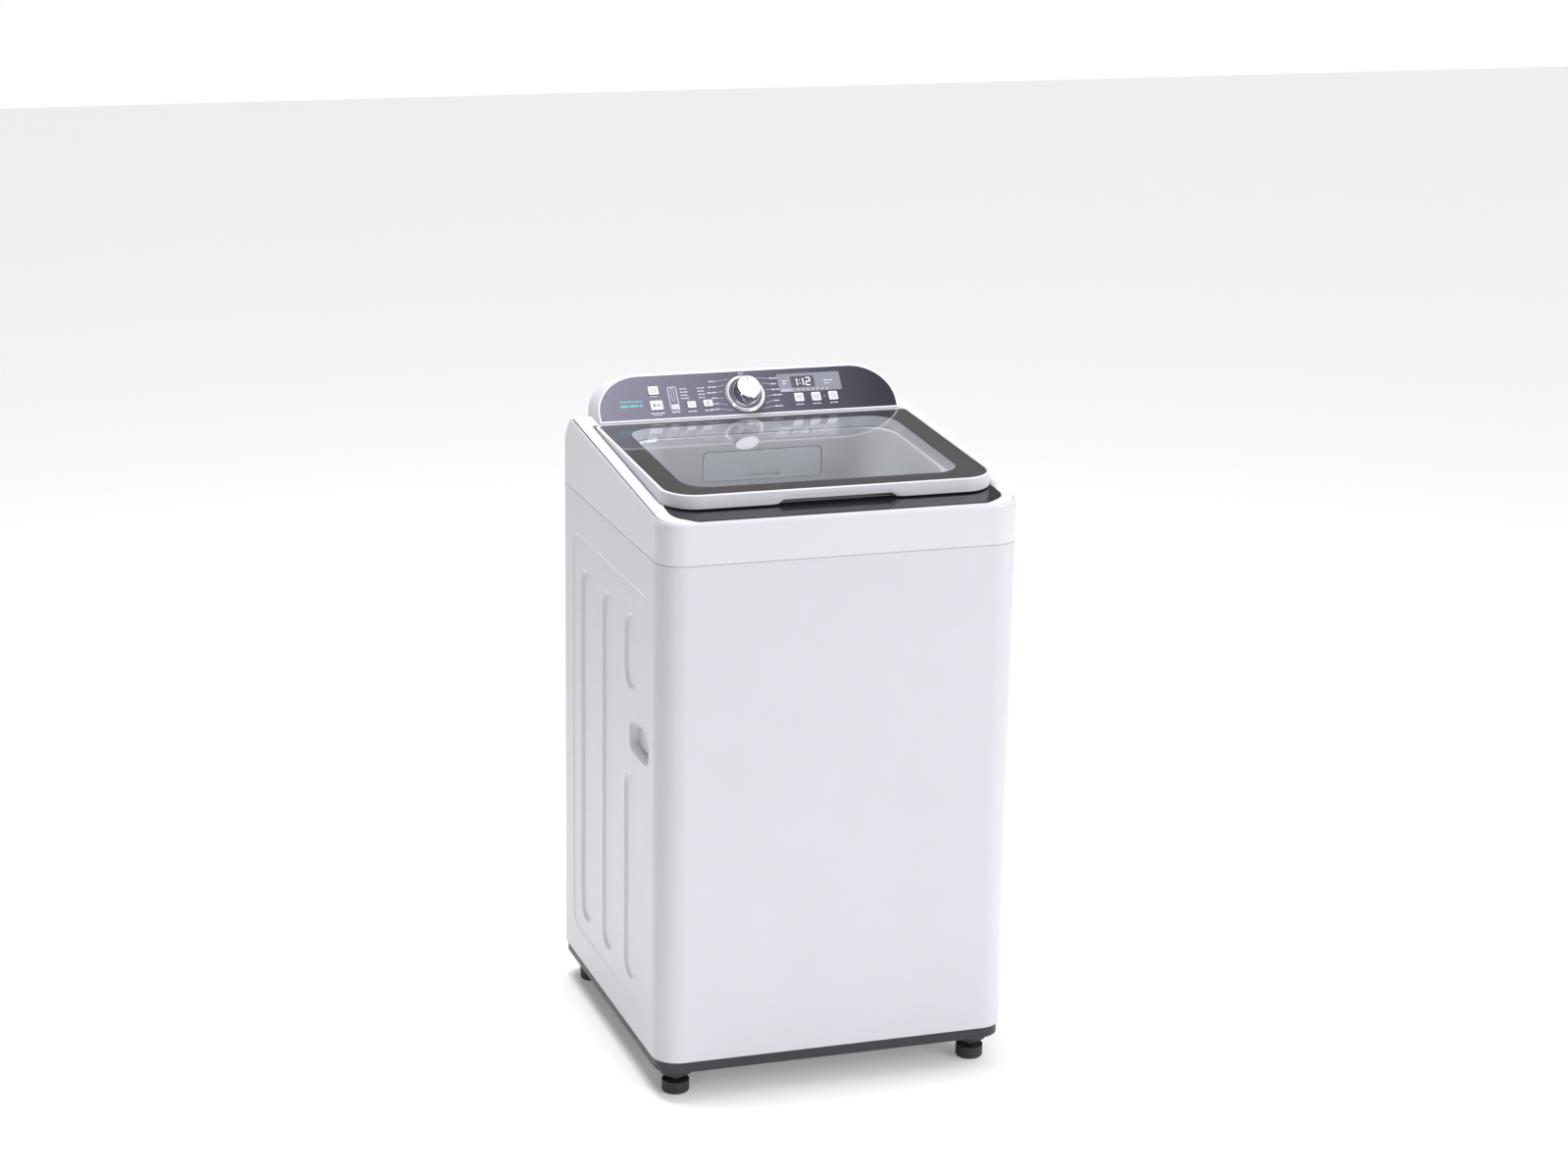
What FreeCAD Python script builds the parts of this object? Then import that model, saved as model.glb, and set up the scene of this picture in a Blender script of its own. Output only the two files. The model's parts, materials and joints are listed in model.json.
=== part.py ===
"""Top-load washing machine: steel cabinet, hinged glass lid, sloping control console, suspended tub,
spin basket, pulsator, belt drive, drain pump and water inlet.

Millimetres. +X is the user's right, +Y points to the back, +Z is up. The origin is on the floor, at the
centre of the machine's overall box. Each physical piece is one shape, saved under its own name.
"""

import FreeCAD, Part
import math
import os

Vec = FreeCAD.Vector
UP = Vec(0, 0, 1)
BACK = Vec(0, 1, 0)
RIGHT = Vec(1, 0, 0)

# Cabinet
WIDTH = 600.0
DEPTH = 614.0
DRAIN_REACH = 24.0  # the drain spigot stands out this far behind the cabinet
HALF = WIDTH / 2
FRONT = -(DEPTH + DRAIN_REACH) / 2
REAR = FRONT + DEPTH
MIDDLE = (FRONT + REAR) / 2  # the tub's axis is at x = 0, y = MIDDLE
FRONT_RADIUS = 43.0
REAR_RADIUS = 38.0
STEEL = 1.2
BASE_BOTTOM = 50.0
CABINET_BOTTOM = 69.0
SEAM = 895.0

# Pressings in the side panels
FIELD = (FRONT + 67, REAR - 85, 120.0, 828.0)  # y from, y to, z from, z to
FIELD_DEPTH = 1.5
BAND_DEPTH = 5.0
BAND_WIDTH = 75.0
BAND_PITCH = 134.7
BAND_FRONT_Y = MIDDLE - 130.0
BAND_BOTTOM = 150.0
BAND_TOP = 779.0
GRIP_GAP = (510.0, 648.0)  # the front band stops here to leave room for the hand grip
GRIP = (FRONT + 71, FRONT + 185, 545.0, 605.0)
GRIP_DEPTH = 14.0

# Top cover
PLASTIC = 3.0
COVER_BOTTOM = SEAM + 1.0
COVER_FRONT_TOP = 966.9  # height of the sloping top where it would meet the front face
COVER_PEAK_Y = 222.0
COVER_PEAK = 1017.3
COVER_ROUND = 12.0
NECK_FRONT = MIDDLE - 212.0
NECK_REAR = MIDDLE + 137.0
NECK_HALF = 236.0
NECK_BOTTOM = 884.0

# Lid, measured along its own slope
LID_HALF = 276.0
LID_FRONT = MIDDLE - 262.0
LID_REAR = MIDDLE + 172.0
LID_FRONT_TOP = 996.0
LID_REAR_TOP = 1016.0
LID_THICK = 22.0
LID_RADIUS = 55.0
LID_REAR_RADIUS = 14.0
LID_WALL = 3.0
LID_GAP = 1.2
GLASS_THICK = 4.0
GLASS_INSET = 5.0
WINDOW_HALF = 232.0
WINDOW_FRONT = 47.0  # from the lid's front edge
WINDOW_REAR = 32.0  # from the lid's rear edge
WINDOW_RADIUS = 46.0
HINGE_Y = LID_REAR - 8.0
HINGE_DROP = 14.0  # the hinge axis is this far below the lid's top
HINGE_PIN_RADIUS = 4.0

# Console
TILT = 50.0
FACE_Y = MIDDLE + 178.0
FACE_Z = 1017.0
FACE_HALF = 264.0
FACE_LENGTH = 86.0
PANEL_THICK = 2.5
RIM = 2.4
BUTTON_TRAVEL = 1.2
BUTTON_PROUD = 1.8
BUTTON_CLEARANCE = 0.35
BOARD_DEPTH = 12.0  # from the panel's outside to the printed circuit board

# Button name, centre across, centre up the face, width, height
BUTTONS = (
    ("power", -163.0, 55.0, 18.0, 16.0),
    ("start", -162.0, 27.0, 22.0, 18.0),
    ("level", -130.0, 22.0, 13.0, 10.0),
    ("water", -101.0, 25.0, 15.0, 13.0),
    ("rinse", -72.0, 26.0, 16.0, 13.0),
    ("spin", 90.0, 27.5, 16.5, 16.5),
    ("soak", 120.5, 27.5, 16.5, 16.5),
    ("delay", 151.0, 27.5, 16.5, 16.5),
)
KNOB_AT = (-4.0, 40.0)
KNOB_HEIGHT = 28.0
KNOB_RADIUS = 27.0
KNOB_CAP_RADIUS = 21.5
DIAL_RING_RADIUS = 35.0
DISPLAY = (58.0, 170.0, 38.5, 74.0)  # across from, across to, up from, up to

# Wash unit
TUB_RADIUS = 268.0
TUB_BOTTOM = 246.0
TUB_TOP = 838.0
BASKET_RADIUS = 240.0
BASKET_BOTTOM = 268.0
BASKET_TOP = 842.0
BASKET_MOUTH = 206.0
SPIN_SHAFT_RADIUS = 14.0
WASH_SHAFT_RADIUS = 8.0
RUNNING = 0.05  # radial play of a shaft in its bearing
BELT_BOTTOM = 118.0
BELT_WIDTH = 16.0
BELT_THICK = 4.0
DRIVE_PULLEY_RADIUS = 90.0
MOTOR_PULLEY_RADIUS = 28.0
MOTOR_AT = (-150.0, MIDDLE - 105.0)
ROD_AT = 248.0
ROD_BOTTOM = 262.0
ROD_TOP = 868.0
SPRING_LENGTH = 76.0

# Drain
DRAIN_AT = (172.0, MIDDLE + 140.0)
DRAIN_PIPE_RADIUS = 11.0
DRAIN_PIPE_BORE = 8.5
DRAIN_HEIGHT = 96.0

# Water inlet
INLET_RADIUS = 13.2
INLET_HEIGHT = 932.0
INLET_AT = (165.0, 215.0)
INLET_END = REAR + 16.0
INLET_THREAD = 19.0

# Detergent drawer
DRAWER = (-98.0, 110.0, 914.0, 964.0)  # x from, x to, z from, z to
DRAWER_LENGTH = 84.0
DRAWER_RADIUS = 9.0
DRAWER_GAP = 1.2

# Feet
FOOT_AT = (256.0, 254.0)  # from the cabinet's centre, across and along
FOOT_RADIUS = 22.5

os.makedirs("parts", exist_ok=True)


def save(name, shape):
    """Writes one piece, checked to be a sound solid."""
    solids = shape.Solids
    assert solids and all(s.isValid() and s.Volume > 0 for s in solids), name
    shape = solids[0] if len(solids) == 1 else Part.makeCompound(solids)
    shape.exportStep("parts/" + name + ".step")


def block(x0, x1, y0, y1, z0, z1):
    return Part.makeBox(x1 - x0, y1 - y0, z1 - z0, Vec(x0, y0, z0))


def post(x, y, z0, z1, radius):
    return Part.makeCylinder(radius, z1 - z0, Vec(x, y, z0), UP)


def ring(x, y, z0, z1, outer, inner):
    return post(x, y, z0, z1, outer).cut(post(x, y, z0 - 1, z1 + 1, inner))


def corner(cx, cy, z, radius, start):
    """A quarter circle, anticlockwise from the start angle in degrees."""
    points = []
    for turn in (0, 45, 90):
        a = math.radians(start + turn)
        points.append(Vec(cx + radius * math.cos(a), cy + radius * math.sin(a), z))
    return Part.Arc(*points).toShape()


def outline(x0, x1, y0, y1, z, front, rear):
    """A rectangle with rounded corners: one radius for the low-y pair and one for the high-y pair."""
    arcs = [
        corner(x1 - front, y0 + front, z, front, 270),
        corner(x1 - rear, y1 - rear, z, rear, 0),
        corner(x0 + rear, y1 - rear, z, rear, 90),
        corner(x0 + front, y0 + front, z, front, 180),
    ]
    edges = []
    for i, arc in enumerate(arcs):
        start = arcs[i - 1].Vertexes[-1].Point
        if start.distanceToPoint(arc.Vertexes[0].Point) > 1e-6:
            edges.append(Part.LineSegment(start, arc.Vertexes[0].Point).toShape())
        edges.append(arc)
    return Part.Wire(edges)


def prism(x0, x1, y0, y1, z0, z1, front, rear=None):
    rear = front if rear is None else rear
    return Part.Face(outline(x0, x1, y0, y1, z0, front, rear)).extrude(Vec(0, 0, z1 - z0))


def loft(*wires):
    return Part.makeLoft(list(wires), True, True)


def across(points, x0, x1):
    """A prism along X whose section is a polygon of (y, z) points."""
    corners = [Vec(x0, y, z) for y, z in points]
    return Part.Face(Part.makePolygon(corners + corners[:1])).extrude(Vec(x1 - x0, 0, 0))


def lathe(points, x=0.0, y=MIDDLE):
    """A turned piece about the vertical line through (x, y), from (radius, height) points."""
    corners = [Vec(x + r, y, z) for r, z in points]
    face = Part.Face(Part.makePolygon(corners + corners[:1]))
    return face.revolve(Vec(x, y, 0), UP, 360)


def joined(*shapes):
    return shapes[0].fuse(list(shapes[1:])).removeSplitter()


def mirrored(shape):
    return shape.mirror(Vec(0, 0, 0), RIGHT)


def both_sides(shape):
    return Part.makeCompound([shape, mirrored(shape)])


def placed(shape, placement):
    moved = shape.copy()
    moved.Placement = placement.multiply(moved.Placement)
    return moved


def slope_frame(y, z, degrees):
    """The frame of a surface that leans back: x across, y up the surface, z out of it."""
    return FreeCAD.Placement(Vec(0, y, z), FreeCAD.Rotation(RIGHT, degrees))


LID_TILT = math.degrees(math.atan2(LID_REAR_TOP - LID_FRONT_TOP, LID_REAR - LID_FRONT))
LID_LENGTH = math.hypot(LID_REAR_TOP - LID_FRONT_TOP, LID_REAR - LID_FRONT)
LID_FRAME = slope_frame(LID_FRONT, LID_FRONT_TOP, LID_TILT)
FACE_FRAME = slope_frame(FACE_Y, FACE_Z, TILT)
COVER_TILT = math.degrees(math.atan2(COVER_PEAK - COVER_FRONT_TOP, COVER_PEAK_Y - FRONT))
COVER_FRAME = slope_frame(FRONT, COVER_FRONT_TOP, COVER_TILT)
HINGE_Z = LID_FRONT_TOP + (HINGE_Y - LID_FRONT) * math.tan(math.radians(LID_TILT)) - HINGE_DROP


# Cabinet ----------------------------------------------------------------------------------------


def cabinet_prism(inset, z0, z1):
    return prism(
        -HALF + inset, HALF - inset, FRONT + inset, REAR - inset, z0, z1,
        FRONT_RADIUS - inset, REAR_RADIUS - inset,
    )


def pressing(y0, y1, z0, z1, depth, slope, radius, grow=0.0):
    """The hollow that a pressed panel leaves on the left side: wide at the surface, narrower inside."""
    to_side = FreeCAD.Placement(Vec(0, 0, 0), FreeCAD.Rotation(Vec(1, 1, 1), 120))
    lean = slope / depth
    levels = []
    for reach in (-1.0, depth + grow):
        inset = lean * reach - grow
        wire = outline(y0 + inset, y1 - inset, z0 + inset, z1 - inset, reach - HALF, radius - inset / 2,
                       radius - inset / 2)
        levels.append(wire)
    return placed(loft(*levels), to_side)


def side_pressings(grow):
    shapes = [pressing(*FIELD, FIELD_DEPTH, 5.0, 30.0, grow)]
    for i in range(3):
        y = BAND_FRONT_Y + i * BAND_PITCH
        spans = [(BAND_BOTTOM, GRIP_GAP[0]), (GRIP_GAP[1], BAND_TOP)] if i == 0 else [(BAND_BOTTOM,
                BAND_TOP)]
        for z0, z1 in spans:
            half = BAND_WIDTH / 2
            shapes.append(pressing(y - half, y + half, z0, z1, BAND_DEPTH, 9.0, 30.0, grow))
    shapes.append(pressing(*GRIP, GRIP_DEPTH, 12.0, 20.0, grow))
    return joined(*shapes)


REAR_OPENING = (-215.0, 215.0, 150.0, 690.0)
SCREW_PLACES = [(x, z) for x in (-221.0, 221.0) for z in (170.0, 340.0, 510.0, 670.0)]
SCREW_RADIUS = 2.0
BEADS = (230.0, 330.0, 430.0, 530.0)  # the heights of the beads pressed into the rear panel
BEAD_HEIGHT = 40.0
GLAND_AT = (-190.0, 612.0)  # the cord gland in the rear panel: across, up
GLAND_RADIUS = 7.8
CORD_RADIUS = 3.6


def screw_holes():
    return [Part.makeCylinder(SCREW_RADIUS + 0.2, 8, Vec(x, REAR - 4, z), BACK) for x, z in SCREW_PLACES]


def make_cabinet():
    outside = side_pressings(0.0)
    inside = side_pressings(STEEL)
    skin = cabinet_prism(0, CABINET_BOTTOM, SEAM).cut([outside, mirrored(outside)])
    core = cabinet_prism(STEEL, CABINET_BOTTOM - 1, SEAM + 1).cut([inside, mirrored(inside)])
    skin = skin.cut(core)
    flange = cabinet_prism(STEEL / 2, CABINET_BOTTOM, CABINET_BOTTOM + STEEL)
    flange = flange.cut(cabinet_prism(16, CABINET_BOTTOM - 1, CABINET_BOTTOM + 3))
    x0, x1, z0, z1 = REAR_OPENING
    opening = block(x0, x1, REAR - 5, REAR + 5, z0, z1)
    drain = Part.makeCylinder(DRAIN_PIPE_RADIUS + 1.5, 10, Vec(DRAIN_AT[0], REAR - 5, DRAIN_HEIGHT), BACK)
    save("cabinet", joined(skin, flange).cut([opening, drain] + screw_holes()))




def make_rear_panel():
    plate = block(-228, 228, REAR, REAR + STEEL, 138, 702)
    beads = []
    hollows = []
    for z in BEADS:
        beads.append(block(-170, 170, REAR + STEEL, REAR + 4, z, z + BEAD_HEIGHT))
        hollows.append(block(-168, 168, REAR - 1, REAR + 4 - STEEL, z + 2, z + BEAD_HEIGHT - 2))
    panel = joined(plate, *beads).cut(hollows)
    heads = []
    for x, z in SCREW_PLACES:
        shank = Part.makeCylinder(SCREW_RADIUS, 12, Vec(x, REAR - 10, z), BACK)
        head = Part.makeCone(4.5, 3.2, 2.2, Vec(x, REAR + STEEL, z), BACK)
        slot = block(x - 3.2, x + 3.2, REAR + STEEL + 1.4, REAR + 5, z - 0.5, z + 0.5)
        heads.append(joined(shank, head).cut(slot))
    gland = Part.makeCylinder(GLAND_RADIUS + 0.2, 10, Vec(GLAND_AT[0], REAR - 5, GLAND_AT[1]), BACK)
    save("rear_panel", panel.cut(screw_holes() + [gland]))
    save("rear_panel_screws", Part.makeCompound(heads))


def foot_places():
    dx, dy = FOOT_AT
    return {
        "front_left": (-dx, MIDDLE - dy),
        "front_right": (dx, MIDDLE - dy),
        "rear_left": (-dx, MIDDLE + dy),
        "rear_right": (dx, MIDDLE + dy),
    }


def make_base():
    """Dark moulded base: a skirt, corner gussets with foot sockets, and the pump's shelf."""
    skirt = cabinet_prism(4, BASE_BOTTOM, CABINET_BOTTOM).cut(cabinet_prism(34, BASE_BOTTOM - 1,
            CABINET_BOTTOM + 1))
    rib = cabinet_prism(17.5, CABINET_BOTTOM, CABINET_BOTTOM + 26)
    rib = rib.cut(cabinet_prism(21, CABINET_BOTTOM - 1, CABINET_BOTTOM + 27))
    pieces = [skirt, rib]
    holes = []
    for name, (x, y) in foot_places().items():
        sx = 1 if x > 0 else -1
        sy = 1 if y > MIDDLE else -1
        x0, x1 = sorted((x - sx * 50, x + sx * 12))
        y0, y1 = sorted((y - sy * 50, y + sy * 12))
        pieces.append(block(x0, x1, y0, y1, BASE_BOTTOM + 8, CABINET_BOTTOM))
        pieces.append(post(x, y, 34, CABINET_BOTTOM, 26))
        holes.append(post(x, y, 30, CABINET_BOTTOM + 30, 6.4 if name.startswith("front") else 5.0))
    shelf = block(DRAIN_AT[0] - 60, HALF - 30, DRAIN_AT[1] - 55, DRAIN_AT[1] + 55, BASE_BOTTOM + 4,
            BASE_BOTTOM + 9)
    holes.append(Part.makeCylinder(DRAIN_PIPE_RADIUS + 2, 60, Vec(DRAIN_AT[0], REAR - 50, DRAIN_HEIGHT),
            BACK))
    save("base_frame", joined(*pieces, shelf).cut(holes))


def foot_pad(x, y):
    """A rubber-shod pad with a rounded lower edge."""
    pad = post(x, y, 0, 21, FOOT_RADIUS)
    low = [e for e in pad.Edges if e.Length > 50 and e.BoundBox.ZMax < 1]
    return pad.makeFillet(5.0, low)


def make_feet():
    rear = []
    for name, (x, y) in foot_places().items():
        if name.startswith("rear"):
            neck = post(x, y, 20, 34, 18)
            plug = post(x, y, 33, 60, 4.9)
            rear.append(joined(foot_pad(x, y), neck, plug))
            continue
        stud = post(x, y, 20, 66, 6.0)
        nut = Part.Face(Part.makePolygon([
            Vec(x + 11 * math.cos(math.radians(60 * i)), y + 11 * math.sin(math.radians(60 * i)), 24)
            for i in range(7)
        ])).extrude(Vec(0, 0, 9))
        side = name.split("_")[1]
        save("front_foot_" + side, joined(foot_pad(x, y), stud, nut))
    save("rear_feet", Part.makeCompound(rear))


# Top cover --------------------------------------------------------------------------------------


def cover_block(inset, bottom):
    """The cover's outer form, drawn in by an even amount: sloping top, arched back, rounded corners."""
    start = Vec(0, FRONT + inset, bottom)
    front_top = Vec(0, FRONT + inset, COVER_FRONT_TOP - inset)
    peak = Vec(0, COVER_PEAK_Y - 0.4 * inset, COVER_PEAK - inset)
    arch = Vec(0, MIDDLE + 276 - 0.8 * inset, 972 - 0.5 * inset)
    end = Vec(0, REAR - inset, bottom)
    edges = [
        Part.LineSegment(start, front_top).toShape(),
        Part.LineSegment(front_top, peak).toShape(),
        Part.Arc(peak, arch, end).toShape(),
        Part.LineSegment(end, start).toShape(),
    ]
    section = Part.Face(Part.Wire(edges))
    section.translate(Vec(-HALF - 5, 0, 0))
    bar = section.extrude(Vec(WIDTH + 10, 0, 0))
    return bar.common(cabinet_prism(inset, bottom, COVER_PEAK + 20))


def neck(grow):
    """The wash opening's inner form: rectangular at the top, nearly round above the basket."""
    top = outline(-NECK_HALF - grow, NECK_HALF + grow, NECK_FRONT - grow, NECK_REAR + grow, 1030.0,
            60 + grow, 60 + grow)
    low = outline(-205 - grow, 205 + grow, MIDDLE - 200 - grow, MIDDLE + 130 + grow, NECK_BOTTOM,
            150 + grow, 60 + grow)
    return loft(low, top)


def lid_seat(trough_top=60.0):
    """The shallow step in the cover's top that the lid drops into, and the trough under its hinge."""
    g = 2.0
    half = LID_HALF + g
    floor = -LID_THICK - LID_GAP
    step = prism(-half, half, -g, LID_LENGTH + g, floor, 60, LID_RADIUS + g, LID_REAR_RADIUS)
    trough = prism(-half, half, LID_LENGTH - 32, LID_LENGTH + 11, floor - 6, trough_top, 4.0)
    return placed(step, LID_FRAME), placed(trough, LID_FRAME)


def trim_plate(grow, low, high):
    """The dark strip in front of the lid: full width in front, swept back to a point on each side."""
    y0 = 4.0 - grow
    y1 = 118.0 + grow
    half = LID_HALF - 1 + grow
    plate = prism(-half, half, y0, y1, low, high, 40 + grow, 1.0)
    arm = half - 6 - 2 * grow
    back = prism(-arm, arm, 62.0 + grow, y1 + 60, low - 1, high + 1, 34.0, 1.0)
    taper_points = [Vec(half + 1, 62, low - 1), Vec(half + 1, y1 + 2, low - 1),
            Vec(arm - 1, y1 + 2, low - 1)]
    taper = Part.Face(Part.makePolygon(taper_points + taper_points[:1])).extrude(Vec(0, 0,
            high - low + 2))
    return placed(plate.cut([back, taper, mirrored(taper)]), COVER_FRAME)


def drawer_prism(grow, rear, length):
    """The outline of the drawer's front, with rounded corners, run forward from the given y."""
    x0, x1, z0, z1 = DRAWER
    form = prism(x0 - grow, x1 + grow, -grow, z1 - z0 + grow, 0, length, DRAWER_RADIUS + grow)
    return placed(form, FreeCAD.Placement(Vec(0, rear, z0), FreeCAD.Rotation(RIGHT, 90)))


def make_top_cover():
    outer = cover_block(0.0, COVER_BOTTOM)
    top_edges = [
        e for e in outer.Edges
        if e.BoundBox.ZMin > COVER_FRONT_TOP - 2 and e.BoundBox.YMax < COVER_PEAK_Y + 1 and
        (e.BoundBox.XMax > HALF - 60 or e.BoundBox.XMin < -HALF + 60 or e.BoundBox.YMax < FRONT + 2)
        and not (e.BoundBox.YMin > COVER_PEAK_Y - 1)
    ]
    outer = outer.makeFillet(COVER_ROUND, top_edges)
    step, trough = lid_seat()
    shaped = outer.cut([step, trough])
    inner = cover_block(PLASTIC, COVER_BOTTOM - 1)
    step_under = placed(
        prism(-LID_HALF - 5, LID_HALF + 5, -5, LID_LENGTH + 5, -LID_THICK - LID_GAP - PLASTIC, 90,
                LID_RADIUS + 5,
              LID_REAR_RADIUS + 2), LID_FRAME)
    trough_under = placed(
        prism(-LID_HALF - 5, LID_HALF + 5, LID_LENGTH - 35, LID_LENGTH + 14, -LID_THICK - 10, 90,
                6.0), LID_FRAME)
    inner = inner.cut([step_under, trough_under])
    shell = shaped.cut([inner, neck(0.0)])
    funnel = neck(PLASTIC).cut(neck(0.0)).common(shaped_below(shaped))
    lip = cabinet_prism(STEEL + 0.5, SEAM - 12, COVER_BOTTOM + 6)
    lip = lip.cut(cabinet_prism(STEEL + 0.5 + 2.5, SEAM - 13, COVER_BOTTOM + 7))
    mouth = drawer_prism(DRAWER_GAP, NECK_REAR + 12, 32)
    cover = joined(shell, funnel, lip)
    inlets = [Part.makeCylinder(INLET_RADIUS + 1.3, 60, Vec(x, REAR - 45, INLET_HEIGHT),
            BACK) for x in INLET_AT]
    pins = [Part.makeCylinder(HINGE_PIN_RADIUS + 1, 2 * HALF - 20, Vec(-HALF + 10, HINGE_Y, HINGE_Z),
            RIGHT)]
    bolt = block(LOCK_AT[0] - 5, LOCK_AT[0] + 5, LOCK_AT[1] - 8, LOCK_AT[1] + 8, 950, 1010)
    cable = block(-40, 40, FACE_Y + 20, FACE_Y + 40, 1000, 1030)
    cover = cover.cut([mouth, trim_plate(0.3, -PLASTIC - 2, 20), bolt, cable] + inlets + pins)
    solids = sorted(cover.Solids, key=lambda s: s.Volume)
    save("top_cover", solids[-1])


def shaped_below(shaped):
    """Everything below the cover's finished top, down past the neck's lower edge."""
    below = block(-HALF + 20, HALF - 20, FRONT + 20, REAR - 20, NECK_BOTTOM, COVER_BOTTOM + 0.5)
    return shaped.fuse(below)


def make_front_trim():
    step = lid_seat()[0]
    save("front_trim", trim_plate(0.0, -PLASTIC, -0.2).cut(step))


# Lid --------------------------------------------------------------------------------------------


def lid_slab(inset, low, high):
    return prism(
        -LID_HALF + inset, LID_HALF - inset, inset, LID_LENGTH - inset, low, high,
        LID_RADIUS - inset, LID_REAR_RADIUS - min(inset, LID_REAR_RADIUS - 2),
    )


def window_prism(grow, low, high):
    return prism(
        -WINDOW_HALF - grow, WINDOW_HALF + grow, WINDOW_FRONT - grow, LID_LENGTH - WINDOW_REAR + grow,
        low, high,
        WINDOW_RADIUS + grow,
    )


def make_lid():
    body = lid_slab(0.0, -LID_THICK, 0)
    rims = [e for e in body.Edges if e.BoundBox.ZMin > -0.01]
    body = body.makeFillet(1.8, rims)
    pocket = lid_slab(GLASS_INSET, -GLASS_THICK - 0.2, 5)
    hollow = lid_slab(LID_WALL, -LID_THICK - 5, -GLASS_THICK - 0.2 - LID_WALL)
    hollow = hollow.cut(window_prism(LID_WALL, -LID_THICK - 6, 0))
    body = body.cut([pocket, hollow, window_prism(0.0, -LID_THICK - 5, 5)])
    # the middle of the front skirt is set back and cut short to make a pull
    pull = [Vec(-104, -5, -LID_THICK - 1), Vec(111, -5, -LID_THICK - 1), Vec(86, -5, -7.5),
            Vec(-78, -5, -7.5)]
    scoop = Part.Face(Part.makePolygon(pull + pull[:1])).extrude(Vec(0, 7, 0))
    low = [Vec(-98, -5, -LID_THICK - 1), Vec(105, -5, -LID_THICK - 1), Vec(93, -5, -15.5),
            Vec(-86, -5, -15.5)]
    under = Part.Face(Part.makePolygon(low + low[:1])).extrude(Vec(0, 30, 0))
    back_wall = across([(LID_WALL - 1, -15.5), (LID_WALL + 3, -15.5), (LID_WALL + 3, -6),
            (LID_WALL - 1, -6)], -112, 118)
    shelf = across([(LID_WALL - 1, -15.5), (20, -15.5), (20, -13), (LID_WALL - 1, -13)], -112, 118)
    body = joined(body, back_wall, shelf).cut([scoop, under])
    pin = Part.makeCylinder(HINGE_PIN_RADIUS, 13, Vec(LID_HALF - 4, 0, 0), RIGHT)
    boss = Part.makeCylinder(7.0, 5, Vec(LID_HALF - LID_WALL - 3, 0, 0), RIGHT)
    pins = []
    for shape in (pin, boss):
        shape.translate(Vec(0, HINGE_Y, HINGE_Z))
        pins += [shape, mirrored(shape)]
    frame = placed(body, LID_FRAME)
    save("lid_frame", joined(frame, *pins))
    glass = lid_slab(GLASS_INSET + 0.3, -GLASS_THICK, -0.3)
    save("lid_glass", placed(glass, LID_FRAME))


LOCK_AT = (254.0, MIDDLE - 60.0)


def make_lid_hardware():
    hinge = block(LID_HALF + 5.2, LID_HALF + 12.0, HINGE_Y - 10, HINGE_Y + 6, HINGE_Z - 12, HINGE_Z + 5)
    bore = Part.makeCylinder(HINGE_PIN_RADIUS + RUNNING, 40, Vec(LID_HALF - 10, HINGE_Y, HINGE_Z), RIGHT)
    save("lid_hinge_brackets", both_sides(hinge.cut(bore)))
    x, y = LOCK_AT
    case = block(x - 14, x + 14, y - 24, y + 24, 932, 962)
    slot = block(x - 4.4, x + 4.4, y - 7.4, y + 7.4, 936, 970)
    save("lid_lock", case.cut(slot))
    save("lid_lock_bolt", block(x - 4, x + 4, y - 7, y + 7, 938, 972))


# Console ----------------------------------------------------------------------------------------


def face_outline(inset, w):
    """The control face: straight lower edge, short upright sides, wide elliptical upper corners."""
    half = FACE_HALF - inset
    low = inset
    high = FACE_LENGTH - inset
    side = 14.0
    ru = 78.0 - inset
    rv = high - side
    edges = [Part.LineSegment(Vec(-half, low, w), Vec(half, low, w)).toShape()]
    edges.append(Part.LineSegment(Vec(half, low, w), Vec(half, side, w)).toShape())
    for sign in (1, -1):
        centre = Vec(sign * (half - ru), side, w)
        if ru > rv:
            ellipse = Part.Ellipse(centre, ru, rv)
        else:
            ellipse = Part.Ellipse(centre + Vec(0, rv, 0), centre + Vec(ru, 0, 0), centre)
        start = centre + Vec(sign * ru, 0, 0)
        end = centre + Vec(0, rv, 0)
        middle = centre + Vec(sign * ru * math.sqrt(0.5), rv * math.sqrt(0.5), 0)
        a, b = ellipse.parameter(start), ellipse.parameter(end)
        if sign < 0:
            a, b = b, a
        arc = Part.ArcOfEllipse(ellipse, a, b)
        if arc.toShape().distToShape(Part.Vertex(middle))[0] > 1.0:
            arc = Part.ArcOfEllipse(ellipse, b, a)
        edges.append(arc.toShape())
        if sign > 0:
            top = Part.LineSegment(Vec(half - ru, high, w), Vec(-half + ru, high, w)).toShape()
            edges.append(top)
    edges.append(Part.LineSegment(Vec(-half, side, w), Vec(-half, low, w)).toShape())
    return Part.Wire(Part.__sortEdges__(edges))


def face_plate(inset, w0, w1):
    return placed(Part.Face(face_outline(inset, w0)).extrude(Vec(0, 0, w1 - w0)), FACE_FRAME)


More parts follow.
